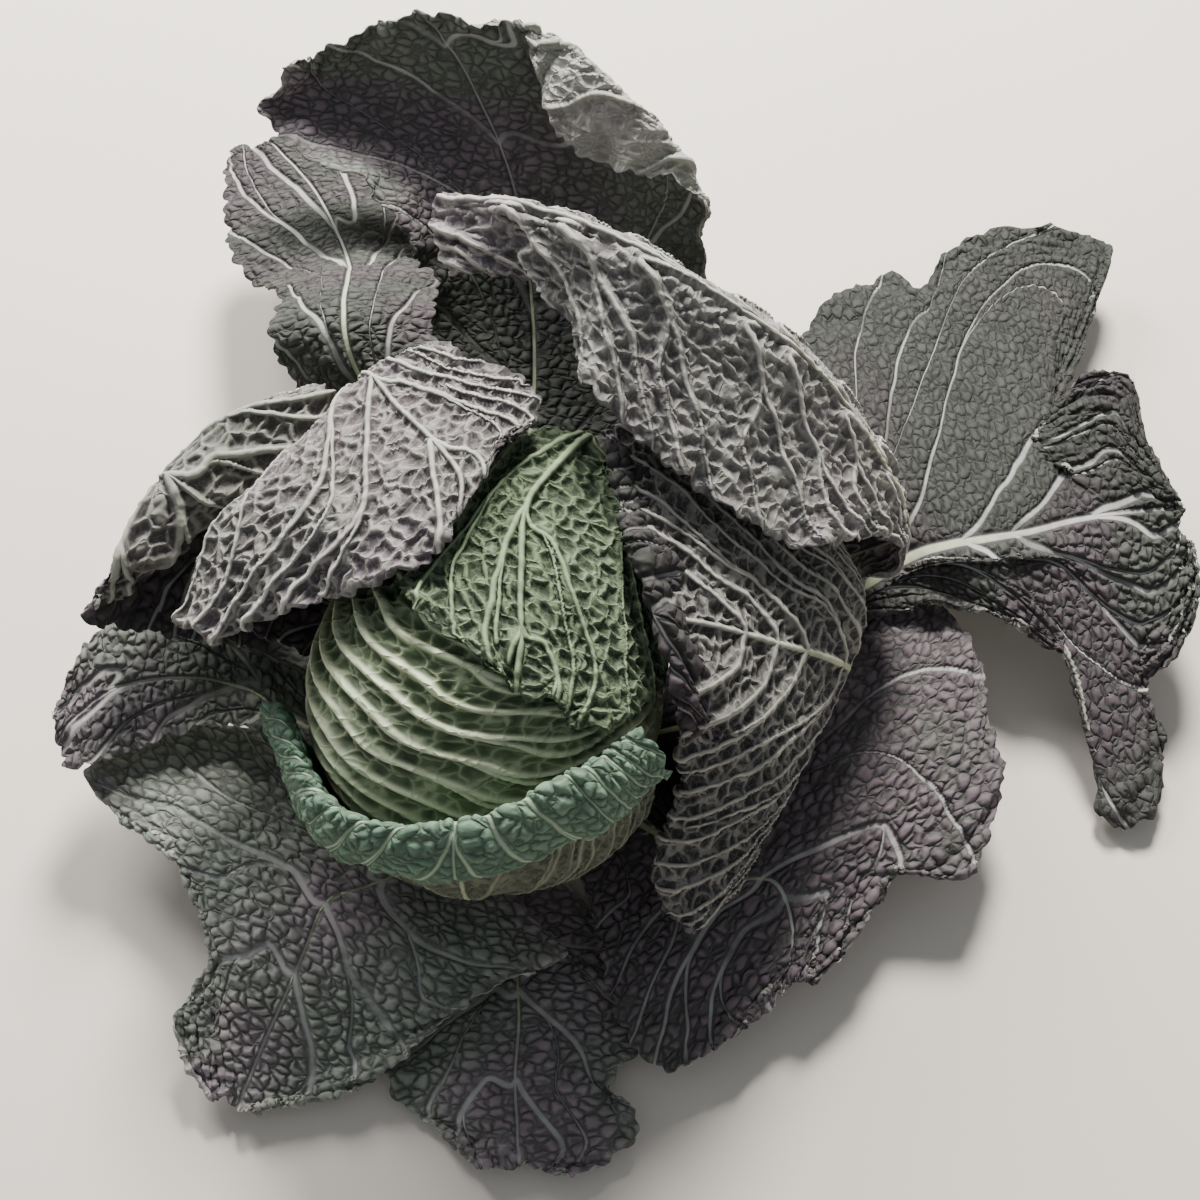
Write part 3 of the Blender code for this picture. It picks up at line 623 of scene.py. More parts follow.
def vein_values(grid, leaf, drawn, chance):
    """What the veins are read from: the lane between side veins, its width in millimetres,
    the share of the way out to the margin, the distance to the midrib over its half width
    and the station."""
    rows, columns = grid.shape[:2]
    rib_place = leaf["midrib"] / (len(leaf["lines"]) - 1)
    station = np.linspace(0, 1, rows)[:, None] * np.ones((1, columns))
    place = np.linspace(0, 1, columns)[None, :] * np.ones((rows, 1))
    right = place > rib_place
    out = np.where(right, (place - rib_place) / (1 - rib_place), (rib_place - place) / rib_place)
    across = running_length(grid, 1)
    rib_column = int(round(rib_place * (columns - 1)))
    from_rib = across - across[:, rib_column:rib_column + 1]
    rib = from_rib / np.maximum(drawn["midrib_width"] * (RIB_TAPER - station), RIB_LEAST)
    slanted = station - drawn["slant"] * (1 - SLANT_LOSS * station) * out ** drawn["bend"]
    slanted = slanted - drawn["sweep"] * (1 - np.exp(-out / SWEEP_REACH))
    fan = drawn["fan"] + FAN_GROWTH * station
    spread = (fan + out) / (fan + 1)
    lane = (slanted - FIRST_VEIN) / (1 - FIRST_VEIN) * drawn["veins"] / spread
    lane = lane + right * RIGHT_LANE_SHIFT * smoothstep(0.0, RIGHT_LANE_REACH, out)
    start = chance.uniform(0, 6.28)
    wobble = np.sin(LANE_WOBBLE_RATE * lane + start + RIGHT_WOBBLE * right * out)
    lane = lane + LANE_WOBBLE * wobble
    step_along = np.linalg.norm(np.gradient(grid, axis=0), axis=2)
    step_across = np.linalg.norm(np.gradient(grid, axis=1), axis=2)
    slope = np.hypot(np.gradient(lane, axis=0) / np.maximum(step_along, 1e-6),
                     np.gradient(lane, axis=1) / np.maximum(step_across, 1e-6))
    pitch = 1 / np.maximum(slope, 1e-3)
    return {"lane": lane, "pitch": np.minimum(pitch, WIDEST_PITCH), "out": out, "rib": rib,
            "station": station}


def unit_steps(grid, axis):
    """Unit vectors from each point of the grid towards the next along an axis."""
    step = np.gradient(grid, axis=axis)
    return step / np.maximum(np.linalg.norm(step, axis=2, keepdims=True), 1e-9)


def margin_wave(run, phase):
    """Waves along a margin, from -1 to about 1.5."""
    waves = [weight * np.sin(run / length + turn)
             for (length, weight), turn in zip(MARGIN_WAVES, phase)]
    return sum(waves) / WAVE_TOTAL


def margin_teeth(run, phase):
    """Uneven teeth along a margin, bites below 0 and points above it."""
    teeth = np.abs(np.sin(run / TOOTH_LENGTH + phase[3] + np.sin(run / TOOTH_DRIFT))) - 0.5
    lobes = np.sin(run / LOBE_LENGTHS[0] + phase[4]) * np.sin(run / LOBE_LENGTHS[1] + phase[5])
    return teeth + LOBE_SHARE * lobes


def waved_margin(grid, drawn, chance):
    """Wave the blade towards its margin, cut small teeth into the edge and bulge it.

    Returns the new grid and each point's distance from the nearest margin."""
    rows = grid.shape[0]
    normal = grid_normals(grid)
    across = running_length(grid, 1)
    along = running_length(grid, 0)
    station = np.linspace(0, 1, rows)[:, None]
    blade = smoothstep(FOOT_STATION * 0.8, FOOT_STATION + 0.12, station)
    left = across
    right = across[:, -1:] - across
    tip = along[-1:, :] - along
    edge = np.minimum(np.minimum(left, right), tip)
    outward = unit_steps(grid, 1)
    forward = unit_steps(grid, 0)
    out = grid.copy()
    for margin, distance, run, push in ((LEFT_MARGIN, left, along, -outward),
                                        (RIGHT_MARGIN, right, along, outward),
                                        (TIP_MARGIN, tip, across, forward)):
        phase = [chance.uniform(0, 6.28) for _ in range(6)]
        rise = margin_wave(run, phase) * np.exp(-distance / MARGIN_REACH) * drawn["wave"]
        out += normal * (rise * blade)[:, :, None]
        cut = margin_teeth(run, phase) * np.exp(-distance / TOOTH_REACH) * sizes().tooth / MM
        out += push * (cut * blade)[:, :, None]
        if margin == RIGHT_MARGIN:
            swell = np.exp(-distance / BULGE_REACH) * drawn["bulge"]
            out += push * (swell * blade)[:, :, None]
    return out, edge


def net_place(grid):
    """Where the net is read: the point itself, drawn together along the side veins."""
    across = np.gradient(grid, axis=1).mean(axis=(0, 1))
    across /= np.linalg.norm(across)
    squeeze = (1 - 1 / NET_STRETCH) * (grid @ across)
    return (grid - squeeze[:, :, None] * across) * MM


def store_point_values(mesh, values):
    """Write arrays of numbers, and the vectors of rest, to the mesh as point attributes."""
    for key, value in values.items():
        vector = key == "rest"
        kind = "FLOAT_VECTOR" if vector else "FLOAT"
        attribute = mesh.attributes.new(key, kind, "POINT")
        flat = np.ascontiguousarray(value, np.float32).ravel()
        attribute.data.foreach_set("vector" if vector else "value", flat)


def placed(name, mesh):
    """Object of a mesh, linked to the scene."""
    item = bpy.data.objects.new(name, mesh)
    bpy.context.scene.collection.objects.link(item)
    return item


def sheet_mesh(name, grid, values):
    """One-sided sheet of a grid, with its values as point attributes."""
    rows, columns = grid.shape[:2]
    index = np.arange(rows * columns).reshape(rows, columns)
    quads = np.stack([index[:-1, :-1], index[:-1, 1:], index[1:, 1:], index[1:, :-1]], -1)
    mesh = bpy.data.meshes.new(name)
    mesh.from_pydata((grid.reshape(-1, 3) * MM).tolist(), [], quads.reshape(-1, 4).tolist())
    mesh.shade_smooth()
    store_point_values(mesh, values)
    return placed(name, mesh)


# Nodes that the shaders and the Geometry Nodes share

def new_node(tree, kind, **settings):
    node = tree.nodes.new(kind)
    for key, value in settings.items():
        setattr(node, key, value)
    return node


def math_node(tree, operation, *inputs):
    node = new_node(tree, "ShaderNodeMath", operation=operation)
    for socket, value in zip(node.inputs, inputs):
        if isinstance(value, (int, float)):
            socket.default_value = value
        else:
            tree.links.new(value, socket)
    return node.outputs[0]


def range_node(tree, value, low, high, to_low=0.0, to_high=1.0):
    node = new_node(tree, "ShaderNodeMapRange", interpolation_type="SMOOTHSTEP")
    tree.links.new(value, node.inputs["Value"])
    for key, number in (("From Min", low), ("From Max", high), ("To Min", to_low),
                        ("To Max", to_high)):
        if isinstance(number, (int, float)):
            node.inputs[key].default_value = number
        else:
            tree.links.new(number, node.inputs[key])
    return node.outputs["Result"]


def times(tree, *inputs):
    """Product of two or more values."""
    total = inputs[0]
    for value in inputs[1:]:
        total = math_node(tree, "MULTIPLY", total, value)
    return total


def noise_value(tree, place, scale, detail=2.0):
    node = new_node(tree, "ShaderNodeTexNoise")
    node.inputs["Scale"].default_value = scale
    node.inputs["Detail"].default_value = detail
    tree.links.new(place, node.inputs["Vector"])
    return node.outputs[0]


def vein_distance(tree, value, widen):
    """Distance to the nearest main vein over its half width, from the lane values.

    Side veins lie at whole lanes; each forks once, the fork ending between two lanes."""
    pitch = value["pitch"]
    noise = noise_value(tree, value["rest"], SWAY_SCALE, 1.5)
    sway = times(tree, math_node(tree, "SUBTRACT", noise, 0.5), VEIN_SWAY)
    sway = math_node(tree, "DIVIDE", sway, math_node(tree, "MAXIMUM", pitch, SWAY_PITCH))
    lane = math_node(tree, "ADD", value["lane"], sway)
    draw = new_node(tree, "ShaderNodeTexWhiteNoise", noise_dimensions="1D")
    tree.links.new(math_node(tree, "FLOOR", lane), draw.inputs["W"])
    begin = times(tree, draw.outputs["Value"], FORK_SPREAD)
    begin = math_node(tree, "ADD", begin, FORK_BEGIN)
    end = math_node(tree, "ADD", begin, FORK_RUN)
    turned = times(tree, range_node(tree, value["out"], begin, end), FORK_TURN)
    part = math_node(tree, "FRACT", lane)
    fork = math_node(tree, "ABSOLUTE", math_node(tree, "SUBTRACT", part, turned))
    fork = math_node(tree, "DIVIDE", times(tree, fork, pitch), FORK_WIDTH * widen)
    fork = math_node(tree, "ADD", fork, range_node(tree, pitch, *FORK_PITCHES, HIDE_BY_PITCH, 0.0))
    main = times(tree, math_node(tree, "PINGPONG", lane, 0.5), pitch)
    broad = MAIN_WIDTH * widen
    main = math_node(tree, "DIVIDE", main,
                     range_node(tree, value["out"], 0.0, 1.0, broad, 0.5 * broad))
    side = math_node(tree, "MINIMUM", main, fork)
    hidden = range_node(tree, value["station"], *SIDE_STATIONS, HIDE_AT_FOOT, 0.0)
    side = math_node(tree, "ADD", side, hidden)
    crowded = range_node(tree, pitch, *SIDE_PITCHES, HIDE_BY_PITCH, 0.0)
    side = math_node(tree, "ADD", side, crowded)
    return math_node(tree, "MINIMUM", side, math_node(tree, "ABSOLUTE", value["rib"]))


def net_distance(tree, place, cell, warp, seed):
    """Distance to the nearest wall of the net, in cells, for a place in metres.

    The shader and the Geometry Nodes both use it, so colour sits on the raised veins."""
    scaled_place = new_node(tree, "ShaderNodeVectorMath", operation="SCALE")
    tree.links.new(place, scaled_place.inputs[0])
    if isinstance(cell, float):
        scaled_place.inputs["Scale"].default_value = 1.0 / cell
    else:
        tree.links.new(math_node(tree, "DIVIDE", 1.0, cell), scaled_place.inputs["Scale"])
    moved = new_node(tree, "ShaderNodeVectorMath", operation="ADD")
    tree.links.new(scaled_place.outputs[0], moved.inputs[0])
    moved.inputs[1].default_value = (seed, seed * 0.37, seed * 0.71)
    noise = new_node(tree, "ShaderNodeTexNoise")
    noise.inputs["Scale"].default_value = 0.9
    noise.inputs["Detail"].default_value = 1.0
    tree.links.new(moved.outputs[0], noise.inputs["Vector"])
    centred = new_node(tree, "ShaderNodeVectorMath", operation="SUBTRACT")
    tree.links.new(noise.outputs["Color"], centred.inputs[0])
    centred.inputs[1].default_value = (0.5, 0.5, 0.5)
    bent = new_node(tree, "ShaderNodeVectorMath", operation="SCALE")
    tree.links.new(centred.outputs[0], bent.inputs[0])
    bent.inputs["Scale"].default_value = warp
    total = new_node(tree, "ShaderNodeVectorMath", operation="ADD")
    tree.links.new(moved.outputs[0], total.inputs[0])
    tree.links.new(bent.outputs[0], total.inputs[1])
    cells = new_node(tree, "ShaderNodeTexVoronoi", feature="DISTANCE_TO_EDGE")
    cells.inputs["Scale"].default_value = 1.0
    cells.inputs["Randomness"].default_value = NET_RANDOMNESS
    tree.links.new(total.outputs[0], cells.inputs["Vector"])
    return cells.outputs["Distance"]


def dome_value(tree, distance, reach):
    """0 at a wall of the net, rising steeply and then round to 1 inside the cell."""
    inner = math_node(tree, "MINIMUM", math_node(tree, "DIVIDE", distance, reach), 1.0)
    left = math_node(tree, "SUBTRACT", 1.0, inner)
    return math_node(tree, "SUBTRACT", 1.0, math_node(tree, "POWER", left, DOME_POWER))


# The net of blisters, by Geometry Nodes

def named_value(tree, name, kind="FLOAT"):
    node = new_node(tree, "GeometryNodeInputNamedAttribute", data_type=kind)
    node.inputs["Name"].default_value = name
    return node.outputs["Attribute"]


def store_value(tree, geometry, name, value, kind="FLOAT"):
    node = new_node(tree, "GeometryNodeStoreNamedAttribute", data_type=kind, domain="POINT")
    tree.links.new(geometry, node.inputs["Geometry"])
    node.inputs["Name"].default_value = name
    tree.links.new(value, node.inputs["Value"])
    return node.outputs["Geometry"]


def blister_sockets(tree):
    """Name the inputs and the output of the net."""
    face = tree.interface
    face.new_socket("Geometry", in_out="INPUT", socket_type="NodeSocketGeometry")
    for name, value in (("Cell size", 0.008), ("Blister height", 0.0022),
                        ("Vein groove", 0.0013), ("Fold height", 0.002)):
        socket = face.new_socket(name, in_out="INPUT", socket_type="NodeSocketFloat")
        socket.default_value = value
    face.new_socket("Material", in_out="INPUT", socket_type="NodeSocketMaterial")
    face.new_socket("Geometry", in_out="OUTPUT", socket_type="NodeSocketGeometry")


def blister_lift(tree, put, value, vein, coarse):
    """How far each point moves along its normal: blisters and folds up, vein grooves down."""
    fine_cell = times(tree, put["Cell size"], FINE_SHARE)
    fine = net_distance(tree, value["rest"], fine_cell, FINE_WARP, FINE_SEED)
    small = times(tree, dome_value(tree, fine, FINE_REACH), FINE_HEIGHT)
    height = math_node(tree, "ADD", dome_value(tree, coarse, DOME_REACH), small)
    height = times(tree, height, range_node(tree, vein, 0.8, 2.6), put["Blister height"])
    groove = times(tree, range_node(tree, vein, 0.3, 2.2, 1.0, 0.0), put["Vein groove"])
    place = new_node(tree, "GeometryNodeInputPosition").outputs[0]
    folds = noise_value(tree, place, FOLD_SCALE, 1.5)
    fold = times(tree, math_node(tree, "SUBTRACT", folds, 0.5), put["Fold height"])
    lift = math_node(tree, "ADD", math_node(tree, "SUBTRACT", height, groove), fold)
    return times(tree, lift, value["calm"])


def blister_tree():
    """Sheet in, crinkled sheet out, with the values that give its thickness and colour."""
    tree = bpy.data.node_groups.new("Savoy net", "GeometryNodeTree")
    blister_sockets(tree)
    put = new_node(tree, "NodeGroupInput").outputs
    normal = new_node(tree, "GeometryNodeInputNormal").outputs[0]
    value = {key: named_value(tree, key) for key in VEIN_VALUES}
    value["rest"] = named_value(tree, "rest", "FLOAT_VECTOR")
    vein = vein_distance(tree, value, RAISED_WIDEN)
    coarse = net_distance(tree, value["rest"], put["Cell size"], NET_WARP, NET_SEED)
    lift = blister_lift(tree, put, value, vein, coarse)
    ridge = times(tree, range_node(tree, coarse, *RIDGE_WALL, 1.0, 0.0), value["calm"])
    geometry = store_value(tree, put["Geometry"], "ridge", ridge)
    geometry = store_value(tree, geometry, "vein", vein)
    geometry = store_value(tree, geometry, "upward", normal, "FLOAT_VECTOR")
    offset = new_node(tree, "ShaderNodeVectorMath", operation="SCALE")
    tree.links.new(normal, offset.inputs[0])
    tree.links.new(lift, offset.inputs["Scale"])
    move = new_node(tree, "GeometryNodeSetPosition")
    tree.links.new(geometry, move.inputs["Geometry"])
    tree.links.new(offset.outputs[0], move.inputs["Offset"])
    real = new_node(tree, "GeometryNodeRealizeInstances")
    tree.links.new(move.outputs[0], real.inputs[0])
    paint = new_node(tree, "GeometryNodeSetMaterial")
    tree.links.new(real.outputs[0], paint.inputs["Geometry"])
    tree.links.new(put["Material"], paint.inputs["Material"])
    tree.links.new(paint.outputs[0], new_node(tree, "NodeGroupOutput").inputs[0])
    return tree


def crinkled(sheet, inputs):
    """Run the net on a sheet and return its plain mesh; the sheet object is removed."""
    tree = bpy.data.node_groups.get("Savoy net") or blister_tree()
    modifier = sheet.modifiers.new("Savoy net", "NODES")
    modifier.node_group = tree
    for socket in tree.interface.items_tree:
        if socket.in_out == "INPUT" and socket.name in inputs:
            modifier[socket.identifier] = inputs[socket.name]
    graph = bpy.context.evaluated_depsgraph_get()
    mesh = bpy.data.meshes.new_from_object(sheet.evaluated_get(graph))
    bpy.data.objects.remove(sheet, do_unlink=True)
    return mesh


def read_points(mesh, name, width):
    values = np.zeros(len(mesh.vertices) * width, np.float32)
    if name == "position":
        mesh.vertices.foreach_get("co", values)
    else:
        mesh.attributes[name].data.foreach_get("vector" if width == 3 else "value", values)
    return values.reshape(-1, width) if width == 3 else values


def blade_faces(rows, columns):
    """Faces of a closed blade: the upper grid, the lower grid and the rim between them."""
    layer = rows * columns
    index = np.arange(layer).reshape(rows, columns)
    upper = np.stack([index[:-1, :-1], index[:-1, 1:], index[1:, 1:], index[1:, :-1]], -1)
    upper = upper.reshape(-1, 4)
    lower = upper[:, ::-1] + layer
    border = np.concatenate([index[0], index[1:, -1], index[-1, -2::-1], index[-2:0:-1, 0]])
    following = np.roll(border, -1)
    rim = np.stack([following, border, border + layer, following + layer], -1)
    return np.concatenate([upper, lower, rim])


def thick_blade(name, mesh, shape, thickness, look):
    """Closed blade: the crinkled sheet is its upper face, the underside lies below it."""
    rows, columns = shape
    top = read_points(mesh, "position", 3).astype(float)
    grid = top.reshape(rows, columns, 3)
    sheet_normal = read_points(mesh, "upward", 3).astype(float).reshape(rows, columns, 3)
    normal = ((1 - SHEET_NORMAL_SHARE) * grid_normals(grid)
              + SHEET_NORMAL_SHARE * sheet_normal)
    normal /= np.maximum(np.linalg.norm(normal, axis=2, keepdims=True), 1e-9)
    normal[0] = (0.0, 0.0, 1.0)
    bottom = (grid - normal * thickness[:, :, None]).reshape(-1, 3)
    blade = bpy.data.meshes.new(name)
    faces = blade_faces(rows, columns).tolist()
    blade.from_pydata(np.vstack([top, bottom]).tolist(), [], faces)
    blade.shade_smooth()
    values = {key: np.concatenate([read_points(mesh, key, width)] * 2)
              for key, width in (("rest", 3), *((value, 1) for value in VEIN_VALUES))}
    values["under"] = np.repeat([0.0, 1.0], rows * columns)
    store_point_values(blade, values)
    blade.materials.append(look)
    bpy.data.meshes.remove(mesh)
    return placed(name, blade)


def blade_thickness(mesh, shape, station, edge):
    """Thickness in metres: thin at the margin, ridged under the net and the veins, and the
    stalk's own near the foot."""
    ridge = read_points(mesh, "ridge", 1).reshape(shape)
    vein = read_points(mesh, "vein", 1).reshape(shape)
    thin = smoothstep(0.0, 2.0, edge)
    blade = sizes().blade * (1 - MARGIN_THINNING + MARGIN_THINNING * thin)
    blade = blade + sizes().vein_ridge * ridge
    rib = np.exp(-(vein / 1.5) ** 2) * thin
    near_foot = np.clip(1 - station / FOOT_VEIN_END, 0, 1)
    blade = blade + rib * (VEIN_THICKNESS + FOOT_VEIN_THICKNESS * near_foot) * MM
    stalk = 1 - smoothstep(FOOT_STATION * 0.3, FOOT_STATION + 0.15, station)
    return blade * (1 - stalk) + sizes().foot * stalk


def hand_over(item, node):
    """Ride the part's body and replace the node."""
    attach(item, "root")
    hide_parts(node)


def grid_detail():
    return sizes().detail * 1.0


def build_leaf(name, seed):
    """Blade of one leaf, in the place of the part's node of that name."""
    leaf = LEAVES[name]
    drawn = DRAWN[name]
    chance = random.Random(seed)
    shape = tuple(max(30, int(n * grid_detail())) for n in drawn["grid"])
    grid = leaf_surface(leaf, *shape)
    grid, edge = waved_margin(grid, drawn, chance)
    values = vein_values(grid, leaf, drawn, chance)
    station = values["station"]
    calm = smoothstep(FOOT_STATION * 0.25, FOOT_STATION + 0.02, station)
    calm = calm * (0.5 + 0.5 * smoothstep(0.0, 3.0, edge))
    values.update({"calm": calm, "rest": net_place(grid)})
    look = leaf_material(drawn)
    mesh = crinkled(sheet_mesh(name + "_sheet", grid, values), {
        "Cell size": drawn["cell"] * MM,
        "Blister height": drawn["lift"] * MM,
        "Vein groove": sizes().vein_groove * drawn["groove"],
        "Fold height": FOLD_HEIGHT * MM,
        "Material": look,
    })
    thickness = blade_thickness(mesh, shape, station, edge)
    item = thick_blade(name + "_blade", mesh, shape, thickness, look)
    hand_over(item, name)


# Materials

def shader_value(tree, name, width=1):
    node = new_node(tree, "ShaderNodeAttribute", attribute_name=name)
    return node.outputs["Vector" if width == 3 else "Fac"]


def mix_colour(tree, factor, first, second, blend="MIX"):
    """Mix two colours; a Mix node's colour sockets come after its number and vector ones."""
    node = new_node(tree, "ShaderNodeMix", data_type="RGBA", blend_type=blend)
    sockets = (node.inputs[0], node.inputs[6], node.inputs[7])
    for socket, value in zip(sockets, (factor, first, second)):
        if isinstance(value, (int, float)):
            socket.default_value = value
        elif isinstance(value, tuple):
            socket.default_value = (*value[:3], 1.0)
        else:
            tree.links.new(value, socket)
    return node.outputs[2]


def scaled(tone, share):
    return tuple(v * share for v in tone)


def new_material(name):
    """Material with its tree and its shader node."""
    look = bpy.data.materials.new(name)
    look.use_nodes = True
    return look, look.node_tree, look.node_tree.nodes["Principled BSDF"]


def rough_mottle(tree, shader, mottle, least):
    """Roughness that varies with the mottle by a fifth above its least value."""
    tree.links.new(math_node(tree, "ADD", times(tree, mottle, 0.20), least),
                   shader.inputs["Roughness"])


def bump_shader(tree, shader, height, strength, depth):
    bump = new_node(tree, "ShaderNodeBump")
    bump.inputs["Strength"].default_value = strength
    bump.inputs["Distance"].default_value = depth
    tree.links.new(height, bump.inputs["Height"])
    tree.links.new(bump.outputs[0], shader.inputs["Normal"])


def leaf_colours(name):
    """Upper face, its second tint, upper veins, underside, its second tint, its veins."""
    c = colours()
    if name == "collar_leaf":
        # Painted shade: the collar's underside tones are dark to stand in for the shade below the
        # collar.
        tones = (c.collar_green, (0.055, 0.100, 0.068), (0.36, 0.46, 0.33),
                 (0.070, 0.075, 0.055), (0.055, 0.055, 0.045), (0.16, 0.18, 0.13))
    elif name == "pale_leaf":
        tones = (c.collar_green, (0.08, 0.15, 0.06), (0.40, 0.50, 0.30),
                 c.pale_green, (0.105, 0.145, 0.090), (0.27, 0.35, 0.21))
    elif name == "hood_leaf":
        tones = (c.outer_purple, c.outer_green, c.upper_vein,
                 c.under_grey, (0.140, 0.115, 0.132), c.under_vein)
    else:
        tones = (c.outer_green, c.outer_purple, c.upper_vein,
                 (0.135, 0.140, 0.122), (0.140, 0.125, 0.132), (0.31, 0.32, 0.27))
    return [tuple(tone) for tone in tones]


def leaf_tones(drawn):
    """The leaf's colours, scaled by its painted light: factors that stand in for how brightly it
    is lit, the veins taking part of them.
    """
    shade = drawn["shade"]
    under_shade = drawn.get("under_shade", shade)
    vein_painted_light = VEIN_PAINTED_LIGHT_LEAST + (1 - VEIN_PAINTED_LIGHT_LEAST) * min(shade, 1.0)
    painted_lights = (shade, shade, vein_painted_light, under_shade, under_shade, vein_painted_light)
    return [scaled(tone, share) for tone, share in zip(leaf_colours(drawn["look"]), painted_lights)]


def upper_colour(tree, tones, mask, low_show):
    """Upper face: painted shade in the creases between the blisters, main veins that come and go.
    """
    flesh, second, veins = tones
    top = mix_colour(tree, mask["tint"], flesh, second)
    # Painted shade in the creases between the blisters.
    painted_gap_shade = range_node(tree, mask["coarse"], 0.0, 0.25, 0.75, 0.0)
    top = mix_colour(tree, painted_gap_shade, top, scaled(flesh, POCKET_PAINTED_SHADE))
    top = mix_colour(tree, times(tree, mask["net"], 0.05), top, veins)
    shown = range_node(tree, noise_value(tree, mask["rest"], 34.0), 0.38, 0.50, low_show, 0.95)
    shown = math_node(tree, "MAXIMUM", shown, range_node(tree, mask["rib"], 0.8, 1.2, 1.0, 0.0))
    return mix_colour(tree, times(tree, mask["main"], shown), top, veins)


def under_colour(tree, tones, mask):
    """Underside: painted shade in the pockets, within a pale net of main, side and thread veins.
    """
    flesh, second, veins = tones
    low = mix_colour(tree, mask["tint"], flesh, second)
    # Painted shade deep in the sunken pockets between the veins.
    painted_pocket_shade = range_node(tree, mask["coarse"], 0.08, 0.36, 0.0, 0.55)
    low = mix_colour(tree, painted_pocket_shade, low, scaled(flesh, POCKET_PAINTED_SHADE))
    low = mix_colour(tree, times(tree, mask["thread"], 0.30), low, veins)
    low = mix_colour(tree, times(tree, mask["net"], 0.62), low, veins)
    return mix_colour(tree, times(tree, mask["main"], 0.95), low, scaled(veins, UNDER_MAIN_TONE))


def stalk_colour(tree, drawn, value, mask, mottle, flesh):
    """Lighten or darken the leaf's right half and its foot half as painted light and shade, then
    grow pale along the midrib to the stalk.
    """
    # Painted light: the right half's colour is scaled to stand in for how brightly it is lit.
    right = range_node(tree, value["rib"], -6.0, 6.0)
    flesh = mix_colour(tree, right, flesh, (drawn["right_light"],) * 3, "MULTIPLY")
    # Painted shade: the foot half is darkened where it lies in the shaded hollow.
    foot = range_node(tree, value["station"], 0.50, 0.75, 1.0, 0.0)
    flesh = mix_colour(tree, foot, flesh, (drawn["foot_painted_shade"],) * 3, "MULTIPLY")
    stalk = tuple(colours().stalk)
    root = times(tree, range_node(tree, value["station"], 0.25, 0.85, 0.8, 0.0),
                 range_node(tree, mask["rib"], 0.6, 1.0, 1.0, 0.0))
    flesh = mix_colour(tree, root, flesh, stalk)
    flesh = mix_colour(tree, range_node(tree, mottle, 0.35, 0.70, 0.0, 0.22), flesh,
                       (0.0, 0.0, 0.0))
    return mix_colour(tree, range_node(tree, value["calm"], 0.0, 0.3, 1.0, 0.0), flesh, stalk)


def leaf_relief(tree, mask, vein, calm, under):
    """Height of the fine bump: pillows in the cells, cords along the veins, a little grain."""
    side = range_node(tree, under, 0.0, 1.0, 1.0, -1.0)
    pillow = times(tree, dome_value(tree, mask["coarse"], 0.36), side, calm,
                   range_node(tree, vein, 0.9, 2.0))
    cord = times(tree, range_node(tree, vein, 0.2, 1.4, 1.0, 0.0), 0.8)
    pillow = math_node(tree, "ADD", pillow, cord)
    grain = times(tree, noise_value(tree, mask["rest"], 420.0), 0.4)
    return math_node(tree, "ADD", grain, pillow)


def leaf_material(drawn):
    """Leaf finish: blister and vein colours on both faces, by the blade's own values."""
    name = drawn["look"]
    cell = drawn["cell"] * MM
    # The material's name holds the blister size and the leaf's painted light factors.
    under_shade = drawn.get("under_shade", drawn["shade"])
    key = (f"{name}_{drawn['cell']:.1f}_{drawn['shade']:.2f}_{under_shade:.2f}"
           f"_{drawn['right_light']:.2f}")
    if key in bpy.data.materials:
        return bpy.data.materials[key]
    look, tree, shader = new_material(key)
    rest = shader_value(tree, "rest", 3)
    value = {part: shader_value(tree, part) for part in VEIN_VALUES}
    value["rest"] = rest
    vein = vein_distance(tree, value, OUTER_VEIN_WIDEN if name == "outer_leaf" else 1.0)
    calm = value["calm"]
    coarse = net_distance(tree, rest, cell, NET_WARP, NET_SEED)
    fine = net_distance(tree, rest, cell * FINE_SHARE, FINE_WARP, FINE_SEED)
    mask = {
        "rest": rest, "coarse": coarse,
        "rib": math_node(tree, "ABSOLUTE", value["rib"]),
        "tint": range_node(tree, noise_value(tree, rest, 14.0), 0.42, 0.60),
        "main": range_node(tree, vein, 0.5, 1.1, 1.0, 0.0),
        "net": times(tree, range_node(tree, coarse, 0.035, 0.115, 1.0, 0.0), calm),
        "thread": times(tree, range_node(tree, fine, 0.01, 0.10, 1.0, 0.0), calm,
                        range_node(tree, vein, 0.9, 1.6)),
    }
    tones = leaf_tones(drawn)
    under = range_node(tree, shader_value(tree, "under"), 0.45, 0.55)
    mottle = noise_value(tree, rest, 160.0, 3.0)
    top = upper_colour(tree, tones[:3], mask, 0.85 if name == "collar_leaf" else 0.30)
    flesh = mix_colour(tree, under, top, under_colour(tree, tones[3:], mask))
    flesh = stalk_colour(tree, drawn, value, mask, mottle, flesh)
    tree.links.new(flesh, shader.inputs["Base Color"])
    rough_mottle(tree, shader, mottle, 0.64)
    shader.inputs["Specular IOR Level"].default_value = 0.22
    relief = leaf_relief(tree, mask, vein, calm, under)
    bump_shader(tree, shader, relief, BUMP_STRENGTH, BUMP_DEPTH)
    return look


